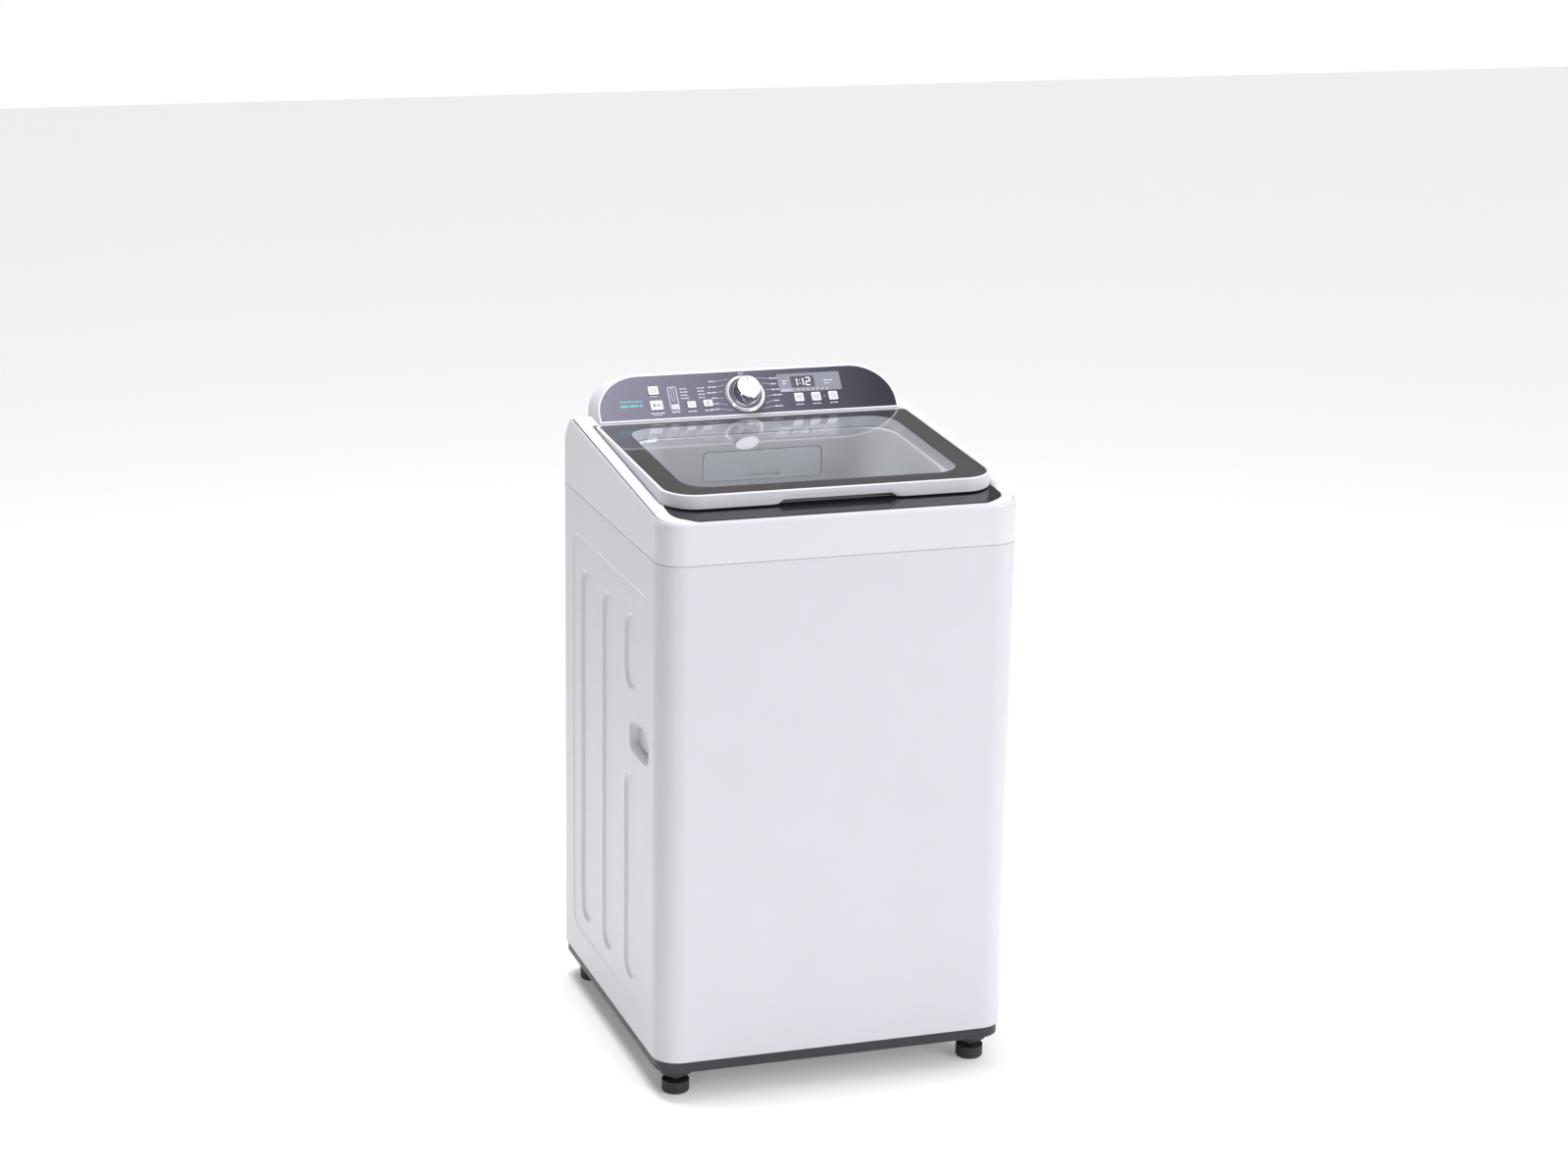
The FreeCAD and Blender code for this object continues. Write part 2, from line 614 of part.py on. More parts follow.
def console_block(inset):
    """The console's outer form: the face outline run back level, then cut off by the sloping rear."""
    outline_face = Part.Face(placed(face_outline(inset, 0.0), FACE_FRAME))
    outline_face.translate(Vec(0, -40, 0))
    bar = outline_face.extrude(Vec(0, 150, 0))
    half = FACE_HALF - inset
    foot = block(-half, half, FACE_Y - 40, FACE_Y + 110, FACE_Z - 15, FACE_Z + 8)
    bar = bar.fuse(foot)
    top_y = FACE_Y + FACE_LENGTH * math.cos(math.radians(TILT))
    top_z = FACE_Z + FACE_LENGTH * math.sin(math.radians(TILT))
    s = math.sin(math.radians(TILT))
    c = math.cos(math.radians(TILT))
    i = inset
    wedge = across([
        (FACE_Y + i * c + i * s, FACE_Z + i * s - i * c),
        (top_y + i * s, top_z - i * c),
        (top_y + 9, top_z + 0.5 - i),
        (top_y + 16 - i, top_z - 12),
        (top_y + 24 - i, 1005 + i),
        (FACE_Y + 6 + i, 1005 + i),
        (FACE_Y + i * c + i * s, FACE_Z - 6 + i),
    ], -HALF, HALF)
    return bar.common(wedge)


def on_face(shape):
    return placed(shape, FACE_FRAME)


def button_prism(u, v, width, height, w0, w1, grow=0.0):
    return prism(
        u - width / 2 - grow, u + width / 2 + grow, v - height / 2 - grow, v + height / 2 + grow,
        w0, w1, 2.0 + grow,
    )


def make_console():
    outer = console_block(0.0)
    body = outer.cut(console_block(PLASTIC))
    pocket = face_plate(RIM, -PANEL_THICK, 5)
    behind = face_plate(RIM + 5, -30, 5).common(console_block(0.5))
    base = cover_block(0.0, COVER_BOTTOM)
    step, trough = lid_seat(trough_top=-6.0)
    body = body.cut([pocket, behind, base, trough, step])
    save("console_housing", sorted(body.Solids, key=lambda s: s.Volume)[-1])

    panel = face_plate(RIM + 0.3, -PANEL_THICK, 0.0)
    holes = [on_face(button_prism(*button[1:], -9, 9, BUTTON_CLEARANCE)) for button in BUTTONS]
    x0, x1, y0, y1 = DISPLAY
    holes.append(on_face(prism(x0, x1, y0, y1, -1.2, 5, 3.0)))
    holes.append(on_face(prism(x0 + 4, x1 - 4, y0 + 4, y1 - 4, -5, 5, 2.0)))
    holes.append(on_face(post(KNOB_AT[0], KNOB_AT[1], -9, 9, 8.0)))
    save("control_panel", panel.cut(holes))
    save("display_window", on_face(prism(x0 + 0.2, x1 - 0.2, y0 + 0.2, y1 - 0.2, -1.2, 0.4, 2.8)))

    board = prism(-178, 174, 13, 68, -BOARD_DEPTH - 1.6, -BOARD_DEPTH, 2.0)
    parts = [board]
    for button in BUTTONS:
        u, v = button[1:3]
        parts.append(block(u - 3, u + 3, v - 3, v + 3, -BOARD_DEPTH - 0.5, -BOARD_DEPTH + 3.5))
    parts.append(block(x0 + 20, x1 - 46, y0 + 6, y1 - 6, -BOARD_DEPTH - 0.5, -BOARD_DEPTH + 7))
    encoder = block(KNOB_AT[0] - 6, KNOB_AT[0] + 6, KNOB_AT[1] - 6, KNOB_AT[1] + 6, -BOARD_DEPTH - 0.5,
            -BOARD_DEPTH + 5)
    encoder = encoder.cut(post(KNOB_AT[0], KNOB_AT[1], -BOARD_DEPTH + 0.5, 5, 3.0 + RUNNING))
    save("display_board", on_face(joined(*parts, encoder)))


def make_knob():
    u, v = KNOB_AT
    dial = lathe([
        (KNOB_RADIUS + 1.0, 0.0), (DIAL_RING_RADIUS, 0.0), (DIAL_RING_RADIUS - 0.8, 2.6),
        (DIAL_RING_RADIUS - 3.5, 4.6), (KNOB_RADIUS + 2.2, 4.8), (KNOB_RADIUS + 1.0, 3.6),
    ], u, v)
    save("knob_ring", on_face(dial))
    turned = lathe([
        (0, 1.0), (KNOB_RADIUS, 1.0), (KNOB_RADIUS, 4.0), (KNOB_RADIUS - 2.2,
                8.0), (KNOB_CAP_RADIUS + 0.8, KNOB_HEIGHT - 4),
        (KNOB_CAP_RADIUS, KNOB_HEIGHT - 1.5), (KNOB_CAP_RADIUS - 1.6,
                KNOB_HEIGHT - 0.3), (KNOB_CAP_RADIUS - 5, KNOB_HEIGHT),
        (0, KNOB_HEIGHT - 0.6),
    ], u, v)
    shaft = post(u, v, -BOARD_DEPTH + 1.5, 3, 3.0)
    mark = prism(u - 0.9, u + 0.9, v + KNOB_CAP_RADIUS - 9, v + KNOB_CAP_RADIUS - 2.5, KNOB_HEIGHT - 1.2,
            KNOB_HEIGHT + 1, 0.8)
    save("knob", on_face(joined(turned, shaft).cut(mark)))


def make_buttons():
    for name, u, v, width, height in BUTTONS:
        cap = button_prism(u, v, width, height, -PANEL_THICK - 2, BUTTON_PROUD)
        top = [e for e in cap.Edges if e.BoundBox.ZMin > BUTTON_PROUD - 0.01]
        cap = cap.makeFillet(0.7, top)
        stem = block(u - 2, u + 2, v - 2, v + 2, -BOARD_DEPTH + 3.6 + BUTTON_TRAVEL, -PANEL_THICK - 1)
        save("button_" + name, on_face(joined(cap, stem)))


# Water side in the cover's rear --------------------------------------------------------------------


def make_water_parts():
    x0, x1, z0, z1 = DRAWER
    y0 = NECK_REAR + 9.0
    y1 = y0 + DRAWER_LENGTH + 10
    case = block(x0 - 5, x1 + 5, y0, y1, z0 - 5, z1 + 10)
    inside = block(x0 - 2, x1 + 2, y0 - 5, y1 - 3, z0 - 2, z1 + 7)
    save("dispenser_housing", case.cut(inside))

    front_y = NECK_REAR - 3.0
    tray = block(x0 + 3, x1 - 3, front_y + 4, front_y + DRAWER_LENGTH + 8, z0 + 1.5, z1 - 10)
    wells = [
        block(x0 + 5.5, 0, front_y + 8, front_y + DRAWER_LENGTH + 5.5, z0 + 4, z1),
        block(2.5, x1 - 5.5, front_y + 8, front_y + DRAWER_LENGTH + 5.5, z0 + 4, z1),
    ]
    face = drawer_prism(0.0, front_y + 6, 6)
    pull = placed(prism(-24, 36, 4, 10, -1, 3.5, 2.5), FreeCAD.Placement(
        Vec(0, front_y + 2.5, z0), FreeCAD.Rotation(RIGHT, 90)))
    save("detergent_drawer", joined(tray.cut(wells), face).cut(pull))

    valve = block(INLET_AT[0] - 22, INLET_AT[1] + 22, REAR - 72, REAR - 36, INLET_HEIGHT - 20,
            INLET_HEIGHT + 20)
    shapes = [valve]
    bores = []
    for x in INLET_AT:
        shapes.append(Part.makeCylinder(11.5, 60, Vec(x, REAR - 50, INLET_HEIGHT), BACK))
        shapes.append(Part.makeCylinder(INLET_RADIUS, INLET_THREAD,
                Vec(x, INLET_END - INLET_THREAD, INLET_HEIGHT), BACK))
        shapes.append(post(x, REAR - 54, INLET_HEIGHT + 19, INLET_HEIGHT + 38, 12))
        bores.append(Part.makeCylinder(8.5, 30, Vec(x, INLET_END - 22, INLET_HEIGHT), BACK))
    save("inlet_valve", joined(*shapes).cut(bores))

    board = block(-240, -125, NECK_REAR + 30, NECK_REAR + 110, 905, 908)
    parts = [board]
    for i in range(4):
        x = -228 + 26 * i
        parts.append(block(x, x + 16, NECK_REAR + 45, NECK_REAR + 70, 907, 925 - 3 * (i % 2)))
    parts.append(post(-150, NECK_REAR + 92, 907, 930, 9))
    save("main_board", joined(*parts))
    switch = post(-200, NECK_REAR + 75, 944, 962, 26)
    port = post(-200, NECK_REAR + 75, 934, 946, 4)
    save("pressure_switch", joined(switch, port, post(-200, NECK_REAR + 75, 961, 970, 14)))


def make_cord_gland():
    at = Vec(GLAND_AT[0], REAR + STEEL, GLAND_AT[1])
    flange = Part.makeCylinder(12.0, 5, at, BACK)
    throat = Part.makeCylinder(GLAND_RADIUS, 12, at - BACK * 9, BACK)
    bore = Part.makeCylinder(CORD_RADIUS, 40, at - BACK * 20, BACK)
    save("cord_gland", joined(flange, throat).cut(bore))


# Wash unit --------------------------------------------------------------------------------------


def rod_places():
    return [(sx * ROD_AT, MIDDLE + sy * ROD_AT) for sx in (-1, 1) for sy in (-1, 1)]


def make_tub():
    r = TUB_RADIUS
    z0 = TUB_BOTTOM
    wall = lathe([
        (30.05, z0), (r - 18, z0), (r - 4, z0 + 14), (r, TUB_TOP), (r - PLASTIC, TUB_TOP), (r - 7,
                z0 + 16),
        (r - 20, z0 + 4), (60, z0 + 4), (44, z0 + 10), (44, z0 + 16), (30.05, z0 + 16),
    ])
    shapes = [wall]
    holes = []
    for x, y in rod_places():
        dx = x
        dy = y - MIDDLE
        reach = math.hypot(dx, dy)
        arm = block(r - 6, reach + 20, -22, 22, ROD_BOTTOM + 4 + SPRING_LENGTH,
                ROD_BOTTOM + 12 + SPRING_LENGTH)
        web = across([(-3, ROD_BOTTOM + 10 + SPRING_LENGTH), (3, ROD_BOTTOM + 10 + SPRING_LENGTH),
                      (3, ROD_BOTTOM + 60 + SPRING_LENGTH), (-3,
                              ROD_BOTTOM + 60 + SPRING_LENGTH)], r - 6, reach - 24)
        turn = FreeCAD.Placement(Vec(0, MIDDLE, 0),
                FreeCAD.Rotation(UP, math.degrees(math.atan2(dy, dx))))
        shapes += [placed(arm, turn), placed(web, turn)]
        holes.append(post(x, y, 300, 400, 8.0))
    outlet = post(*DRAIN_AT, z0 - 1, z0 + 20, 16)
    tub = joined(*shapes).cut(holes + [outlet])
    save("outer_tub", tub)
    save("tub_cover", lathe([
        (BASKET_MOUTH + 8, TUB_TOP + 15), (BASKET_MOUTH + 8, TUB_TOP + 12), (r - 12,
                TUB_TOP + 8), (r - 10, TUB_TOP),
        (r + 6, TUB_TOP), (r + 6, TUB_TOP + 5), (r, TUB_TOP + 11),
    ]))
    sump = ring(*DRAIN_AT, 214, z0, 20, 13)
    save("sump_elbow", joined(sump, ring(*DRAIN_AT, z0 - 4, z0, 30, 13)))


def make_tub_underside():
    arms = [block(-250, 250, MIDDLE - 34, MIDDLE + 34, TUB_BOTTOM - 4, TUB_BOTTOM),
            block(-34, 34, MIDDLE - 250, MIDDLE + 250, TUB_BOTTOM - 4, TUB_BOTTOM)]
    mx, my = MOTOR_AT
    plate = block(mx - 70, mx + 70, my - 62, MIDDLE, TUB_BOTTOM - 4, TUB_BOTTOM)
    bracket = joined(*arms, plate).cut(post(0, MIDDLE, TUB_BOTTOM - 9, TUB_BOTTOM + 5, 32))
    save("tub_bracket", bracket)
    gearbox = lathe([
        (SPIN_SHAFT_RADIUS + 1, TUB_BOTTOM - 4), (66, TUB_BOTTOM - 4), (66, TUB_BOTTOM - 10), (52,
                TUB_BOTTOM - 16),
        (52, 168), (40, 156), (WASH_SHAFT_RADIUS + 1, 156), (WASH_SHAFT_RADIUS + 1,
                166), (SPIN_SHAFT_RADIUS + 1, 166),
    ])
    save("gearbox", gearbox)
    inner = SPIN_SHAFT_RADIUS + RUNNING
    save("main_bearing", ring(0, MIDDLE, TUB_BOTTOM, TUB_BOTTOM + 14, 30.0, inner))
    save("shaft_seal", lathe([
        (inner, TUB_BOTTOM + 16), (26, TUB_BOTTOM + 16), (26, TUB_BOTTOM + 19), (19,
                TUB_BOTTOM + 20), (inner, TUB_BOTTOM + 21),
    ]))


def make_motor():
    mx, my = MOTOR_AT
    top = TUB_BOTTOM - 4
    can = lathe([
        (9.0, 150), (40, 150), (60, 158), (60, top - 8), (40, top), (0, top), (0, top - 6), (28,
                top - 6), (28, 158), (9.0, 158),
    ], mx, my)
    save("motor_stator", can)
    core = post(mx, my, 162, top - 10, 27.0)
    shaft = post(mx, my, BELT_BOTTOM - 6, 164, 8.0)
    r = MOTOR_PULLEY_RADIUS
    z0 = BELT_BOTTOM
    z1 = BELT_BOTTOM + BELT_WIDTH
    wheel = lathe([
        (0, z0 - 3), (r + 4, z0 - 3), (r + 4, z0 - 1), (r, z0 - 1), (r, z1 + 1), (r + 4, z1 + 1), (r + 4,
                z1 + 3), (0, z1 + 3),
    ], mx, my)
    save("motor_rotor", joined(core, shaft, wheel))


def belt_loop(grow, z0, z1):
    """The outside of a belt that runs round both pulleys: two arcs joined by tangent straights."""
    mx, my = MOTOR_AT
    big = DRIVE_PULLEY_RADIUS + grow
    small = MOTOR_PULLEY_RADIUS + grow
    dx = mx
    dy = my - MIDDLE
    distance = math.hypot(dx, dy)
    lean = math.asin((big - small) / distance)
    heading = math.atan2(dy, dx)
    low = heading - (math.pi / 2 - lean)
    high = heading + (math.pi / 2 - lean)

    def at(cx, cy, radius, angle):
        return Vec(cx + radius * math.cos(angle), cy + radius * math.sin(angle), z0)

    near_motor = Part.Arc(at(mx, my, small, low), at(mx, my, small, heading),
            at(mx, my, small, high)).toShape()
    far = Part.Arc(at(0, MIDDLE, big, high), at(0, MIDDLE, big, heading + math.pi),
            at(0, MIDDLE, big, low)).toShape()
    run_a = Part.LineSegment(at(mx, my, small, high), at(0, MIDDLE, big, high)).toShape()
    run_b = Part.LineSegment(at(0, MIDDLE, big, low), at(mx, my, small, low)).toShape()
    return Part.Face(Part.Wire([near_motor, run_a, far, run_b])).extrude(Vec(0, 0, z1 - z0))


def make_drive():
    z0 = BELT_BOTTOM
    z1 = BELT_BOTTOM + BELT_WIDTH
    gap = 0.3
    belt = belt_loop(gap + BELT_THICK, z0, z1).cut(belt_loop(gap, z0 - 1, z1 + 1))
    save("drive_belt", belt)
    r = DRIVE_PULLEY_RADIUS
    wheel = lathe([
        (WASH_SHAFT_RADIUS, z0 - 3), (r + 5, z0 - 3), (r + 5, z0 - 1), (r, z0 - 1), (r, z1 + 1), (r + 5,
                z1 + 1),
        (r + 5, z1 + 3), (r - 5, z1 + 3), (r - 5, z0 + 4), (24, z0 + 4), (24, z1 + 3), (WASH_SHAFT_RADIUS,
                z1 + 3),
    ])
    windows = []
    for i in range(5):
        a = math.radians(72 * i + 36)
        windows.append(post(54 * math.cos(a), MIDDLE + 54 * math.sin(a), z0 - 9, z1 + 9, 19))
    save("drive_pulley", wheel.cut(windows))
    save("pulsator_shaft", post(0, MIDDLE, z0 - 6, BASKET_BOTTOM + 26, WASH_SHAFT_RADIUS))


def make_basket():
    r = BASKET_RADIUS
    z0 = BASKET_BOTTOM
    save("wash_basket", ring(0, MIDDLE, z0 + 12, BASKET_TOP - 36, r, r - 1.0))
    save("basket_base", lathe([
        (SPIN_SHAFT_RADIUS, z0 + 2), (60, z0 + 2), (72, z0 - 4), (r - 12, z0 - 4), (r - 1.2,
                z0 + 8), (r - 1.2, z0 + 30),
        (r - 5, z0 + 30), (r - 6, z0 + 14), (r - 16, z0 + 4), (74, z0 + 4), (62,
                z0 + 10), (SPIN_SHAFT_RADIUS, z0 + 10),
    ]))
    top = BASKET_TOP
    save("balance_ring", lathe([
        (r - 1.0, top - 36), (r, top - 36), (r + 4, top - 32), (r + 4, top - 4), (r,
                top), (BASKET_MOUTH + 3, top),
        (BASKET_MOUTH, top - 4), (BASKET_MOUTH, top - 22), (BASKET_MOUTH + 8, top - 34), (r - 4,
                top - 42), (r - 1.0, top - 42),
    ]))
    save("spin_shaft", ring(0, MIDDLE, 170, z0 + 10, SPIN_SHAFT_RADIUS, WASH_SHAFT_RADIUS + RUNNING))


PULSATOR_RADIUS = 182.0
PULSATOR_VANES = 6


def make_pulsator():
    z0 = BASKET_BOTTOM + 13
    disc = lathe([
        (0, z0 + 20), (WASH_SHAFT_RADIUS + 10, z0 + 20), (60, z0 + 6), (PULSATOR_RADIUS - 8,
                z0), (PULSATOR_RADIUS, z0 + 3),
        (PULSATOR_RADIUS, z0 + 7), (PULSATOR_RADIUS - 10, z0 + 5), (64, z0 + 12), (44, z0 + 34), (26,
                z0 + 46), (0, z0 + 48),
    ])
    vanes = []
    for i in range(PULSATOR_VANES):
        vane = loft(
            outline(34, PULSATOR_RADIUS - 8, -13, 13, z0 + 4, 12.0, 12.0),
            outline(38, PULSATOR_RADIUS - 40, -4, 4, z0 + 34, 3.8, 3.8),
        )
        turn = FreeCAD.Placement(Vec(0, MIDDLE, 0), FreeCAD.Rotation(UP, 360 / PULSATOR_VANES * i))
        vanes.append(placed(vane, turn))
    hole = post(0, MIDDLE, z0 - 20, BASKET_BOTTOM + 26, WASH_SHAFT_RADIUS)
    save("pulsator", joined(disc, *vanes).cut(hole))


FILTER_WIDTH = 86.0
FILTER_BOTTOM = 470.0
FILTER_TOP = 690.0
FILTER_DEPTH = 22.0


def make_lint_filters():
    """Two shallow boxes with a grille, one on each side of the basket wall."""
    half = FILTER_WIDTH / 2
    inner = BASKET_RADIUS - 1.5
    shell = post(0, MIDDLE, FILTER_BOTTOM, FILTER_TOP, inner)
    slab = block(inner - FILTER_DEPTH, inner + 5, MIDDLE - half, MIDDLE + half, FILTER_BOTTOM, FILTER_TOP)
    case = shell.common(slab)
    hollow = block(inner - FILTER_DEPTH + 3, inner - 6.5, MIDDLE - half + 4, MIDDLE + half - 4,
            FILTER_BOTTOM + 6, FILTER_TOP - 8)
    slots = []
    for i in range(9):
        z = FILTER_BOTTOM + 18 + i * 21
        slots.append(block(inner - FILTER_DEPTH - 2, inner - FILTER_DEPTH + 5, MIDDLE - half + 10,
                MIDDLE + half - 10, z, z + 11))
    case = case.cut([hollow] + slots)
    save("lint_filter_right", case)
    save("lint_filter_left", mirrored(case))


def make_suspension():
    rods = []
    springs = []
    brackets = []
    for x, y in rod_places():
        rod = post(x, y, ROD_BOTTOM - 10, ROD_TOP + 8, 4.5)
        seat = post(x, y, ROD_BOTTOM, ROD_BOTTOM + 4, 22)
        head = Part.makeSphere(11, Vec(x, y, ROD_TOP + 4)).common(block(x - 20, x + 20, y - 20, y + 20,
                ROD_TOP + 4, ROD_TOP + 30))
        rods.append(joined(rod, seat, head))
        points = [(13.0, ROD_BOTTOM + 4), (20.0, ROD_BOTTOM + 4)]
        turns = 7
        pitch = SPRING_LENGTH / turns
        for i in range(turns):
            z = ROD_BOTTOM + 4 + pitch * i
            points += [(20.0, z + pitch * 0.45), (17.0, z + pitch * 0.72)]
            points += [(20.0, z + pitch)]
        points.append((13.0, ROD_BOTTOM + 4 + SPRING_LENGTH))
        springs.append(lathe(points, x, y))
        sx = 1 if x > 0 else -1
        sy = 1 if y > MIDDLE else -1
        ex = sx * (HALF - STEEL)
        ey = MIDDLE + sy * (DEPTH / 2 - STEEL)
        corners = [Vec(ex, ey - sy * 110, ROD_TOP), Vec(ex - sx * 110, ey, ROD_TOP), Vec(ex, ey, ROD_TOP)]
        plate = Part.Face(Part.makePolygon(corners + corners[:1])).extrude(Vec(0, 0, 4))
        plate = plate.common(cabinet_prism(STEEL + 0.2, ROD_TOP - 1, ROD_TOP + 5))
        brackets.append(plate.cut(post(x, y, ROD_TOP - 5, ROD_TOP + 9, 4.7)))
    save("suspension_rods", Part.makeCompound(rods))
    save("suspension_springs", Part.makeCompound(springs))
    save("corner_brackets", Part.makeCompound(brackets))


def make_drain():
    x, y = DRAIN_AT
    floor = BASE_BOTTOM + 9
    volute = post(x, y, floor + 16, 116, 42)
    hollow = post(x, y, floor + 20, 112, 36)
    inlet = post(x, y, 114, 150, 17)
    eye = post(x, y, 110, 151, 13)
    outlet = Part.makeCylinder(DRAIN_PIPE_RADIUS, REAR - 42 - y, Vec(x, y, DRAIN_HEIGHT), BACK)
    bore = Part.makeCylinder(DRAIN_PIPE_BORE, REAR - 40 - y, Vec(x, y + 20, DRAIN_HEIGHT), BACK)
    legs = ring(x, y, floor, floor + 17, 42, 30)
    save("drain_pump", joined(volute, inlet, outlet, legs).cut([hollow, eye, bore]))
    hub = post(x, y, floor + 22, 106, 9)
    blades = [hub]
    for i in range(6):
        blade = block(6, 30, -1.2, 1.2, floor + 24, 104)
        turn = FreeCAD.Placement(Vec(x, y, 0), FreeCAD.Rotation(UP, 60 * i))
        blades.append(placed(blade, turn))
    blades.append(post(x, y, floor + 22, floor + 25, 30))
    save("pump_impeller", joined(*blades))
    points = [(13.2, 150), (19, 150)]
    folds = 6
    pitch = (214 - 150) / folds
    for i in range(folds):
        z = 150 + pitch * i
        points += [(24, z + pitch * 0.5), (19, z + pitch)]
    points.append((13.2, 214))
    save("drain_bellows", lathe(points, x, y))
    start = REAR - 42
    tube = Part.makeCylinder(DRAIN_PIPE_RADIUS, REAR + DRAIN_REACH - start, Vec(x, start, DRAIN_HEIGHT),
            BACK)
    flange = Part.makeCylinder(19, 3, Vec(x, REAR, DRAIN_HEIGHT), BACK)
    bore = Part.makeCylinder(DRAIN_PIPE_BORE, 200, Vec(x, start - 10, DRAIN_HEIGHT), BACK)
    save("drain_spigot", joined(tube, flange).cut(bore))


make_cabinet()
make_rear_panel()
make_base()
make_feet()
make_top_cover()
make_front_trim()
make_lid()
make_lid_hardware()
make_console()
make_knob()
make_buttons()
make_water_parts()
make_cord_gland()
make_tub()
make_tub_underside()
make_motor()
make_drive()
make_basket()
make_pulsator()
make_lint_filters()
make_suspension()
make_drain()
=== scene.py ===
import json
import math

import bpy
from mathutils import Matrix, Vector


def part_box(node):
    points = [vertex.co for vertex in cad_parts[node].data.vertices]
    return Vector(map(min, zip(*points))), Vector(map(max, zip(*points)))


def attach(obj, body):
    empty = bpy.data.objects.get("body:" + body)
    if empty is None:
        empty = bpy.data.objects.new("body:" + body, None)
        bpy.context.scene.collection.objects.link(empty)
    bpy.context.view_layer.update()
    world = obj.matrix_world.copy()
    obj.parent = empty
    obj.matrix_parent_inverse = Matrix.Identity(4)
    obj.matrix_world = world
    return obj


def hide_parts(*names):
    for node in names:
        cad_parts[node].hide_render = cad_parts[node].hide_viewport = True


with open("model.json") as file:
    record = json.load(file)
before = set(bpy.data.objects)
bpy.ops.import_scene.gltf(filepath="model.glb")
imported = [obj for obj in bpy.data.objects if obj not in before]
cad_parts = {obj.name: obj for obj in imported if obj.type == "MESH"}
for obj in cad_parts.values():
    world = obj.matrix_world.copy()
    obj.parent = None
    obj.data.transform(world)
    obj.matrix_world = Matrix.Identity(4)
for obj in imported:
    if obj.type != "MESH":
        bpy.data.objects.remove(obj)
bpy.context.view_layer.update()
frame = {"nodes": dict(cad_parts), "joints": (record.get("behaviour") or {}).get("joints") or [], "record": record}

MM = 0.001  # the lengths below are millimetres; meshes are made in metres

# Places taken from the frame ----------------------------------------------------------------------


def joint(name):
    """A joint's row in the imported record."""
    return next(j for j in frame["joints"] if j["name"] == name)


def box_mm(node):
    """A node's two corners, in millimetres."""
    low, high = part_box(node)
    return low / MM, high / MM


def local_frame(origin, across, up, out):
    """The matrix that carries (across, up, out) in millimetres to a place in the frame, in metres."""
    turn = Matrix((across, up, out)).transposed().to_4x4()
    return Matrix.Translation(origin * MM) @ turn @ Matrix.Scale(MM, 4)


ACROSS = Vector((1, 0, 0))
WORLD = Matrix.Scale(MM, 4)

# The console's face: (across, up the face, out of the face), from the middle of its lower edge
PANEL_THICK = 2.5
PANEL_EDGE = 2.7  # the panel starts this far up the face
face_out = -Vector(joint("press_power")["axis"]).normalized()
face_up = Vector((0, face_out.z, -face_out.y))
panel_low, panel_high = box_mm("control_panel")
face_origin = Vector((0, panel_low.y, panel_low.z + PANEL_THICK * face_out.z)) - face_up * PANEL_EDGE
FACE = local_frame(face_origin, ACROSS, face_up, face_out)

# The lid: (across, back along its slope, out of its top), from the middle of its front edge
GLASS_EDGE = 5.3
GLASS_TOP = -0.3
GLASS_THICK = 3.7
glass_low, glass_high = box_mm("lid_glass")
glass_size = glass_high - glass_low
lid_tilt = math.atan2(glass_size.z - GLASS_THICK, glass_size.y)
lid_back = Vector((0, math.cos(lid_tilt), math.sin(lid_tilt)))
lid_out = Vector((0, -math.sin(lid_tilt), math.cos(lid_tilt)))
glass_front = Vector((0, glass_low.y, glass_low.z + GLASS_THICK))
lid_origin = glass_front - lid_back * GLASS_EDGE - lid_out * GLASS_TOP
LID = local_frame(lid_origin, ACROSS, lid_back, lid_out)
LID_LENGTH = glass_size.y / math.cos(lid_tilt) + 2 * GLASS_EDGE
LID_HALF = glass_high.x + GLASS_EDGE

TUB_AXIS_Y = joint("basket_spin")["pos_m"][1] / MM
DRUM = Matrix.Translation(Vector((0, TUB_AXIS_Y, 0)) * MM) @ WORLD

# Materials ----------------------------------------------------------------------------------------


class Shader:
    """A node material that starts as one principled shader."""

    def __init__(self, name):
        self.material = bpy.data.materials.new(name)
        self.material.use_nodes = True
        self.nodes = self.material.node_tree.nodes
        self.links = self.material.node_tree.links
        self.principled = self.nodes["Principled BSDF"]

    def add(self, kind, **values):
        node = self.nodes.new(kind)
        for key, value in values.items():
            if key in node.inputs:
                node.inputs[key].default_value = value
            else:
                setattr(node, key, value)
        return node

    def link(self, source, target):
        self.links.new(source, target)

    def set(self, **values):
        for key, value in values.items():
            self.principled.inputs[key.replace("_", " ")].default_value = value

    def place(self, stretch=(1, 1, 1)):
        coordinates = self.add("ShaderNodeTexCoord")
        mapping = self.add("ShaderNodeMapping")
        mapping.inputs["Scale"].default_value = stretch
        self.link(coordinates.outputs["Object"], mapping.inputs["Vector"])
        return mapping.outputs["Vector"]

    def noise(self, place, scale, detail=3.0):
        noise = self.add("ShaderNodeTexNoise", Scale=scale, Detail=detail)
        self.link(place, noise.inputs["Vector"])
        return noise.outputs["Fac"]

    def spread(self, source, low, high):
        """Turns a 0 to 1 pattern into a value from low to high."""
        ranged = self.add("ShaderNodeMapRange")
        ranged.inputs["From Min"].default_value = 0.3
        ranged.inputs["From Max"].default_value = 0.7
        ranged.inputs["To Min"].default_value = low
        ranged.inputs["To Max"].default_value = high
        self.link(source, ranged.inputs["Value"])
        return ranged.outputs["Result"]

    def colours(self, source, low, high):
        mix = self.add("ShaderNodeMix", data_type="RGBA")
        mix.inputs["A"].default_value = low
        mix.inputs["B"].default_value = high
        self.link(source, mix.inputs["Factor"])
        return mix.outputs["Result"]

    def bump(self, source, height, strength=1.0):
        bump = self.add("ShaderNodeBump", Distance=height, Strength=strength)
        self.link(source, bump.inputs["Height"])
        self.link(bump.outputs["Normal"], self.principled.inputs["Normal"])


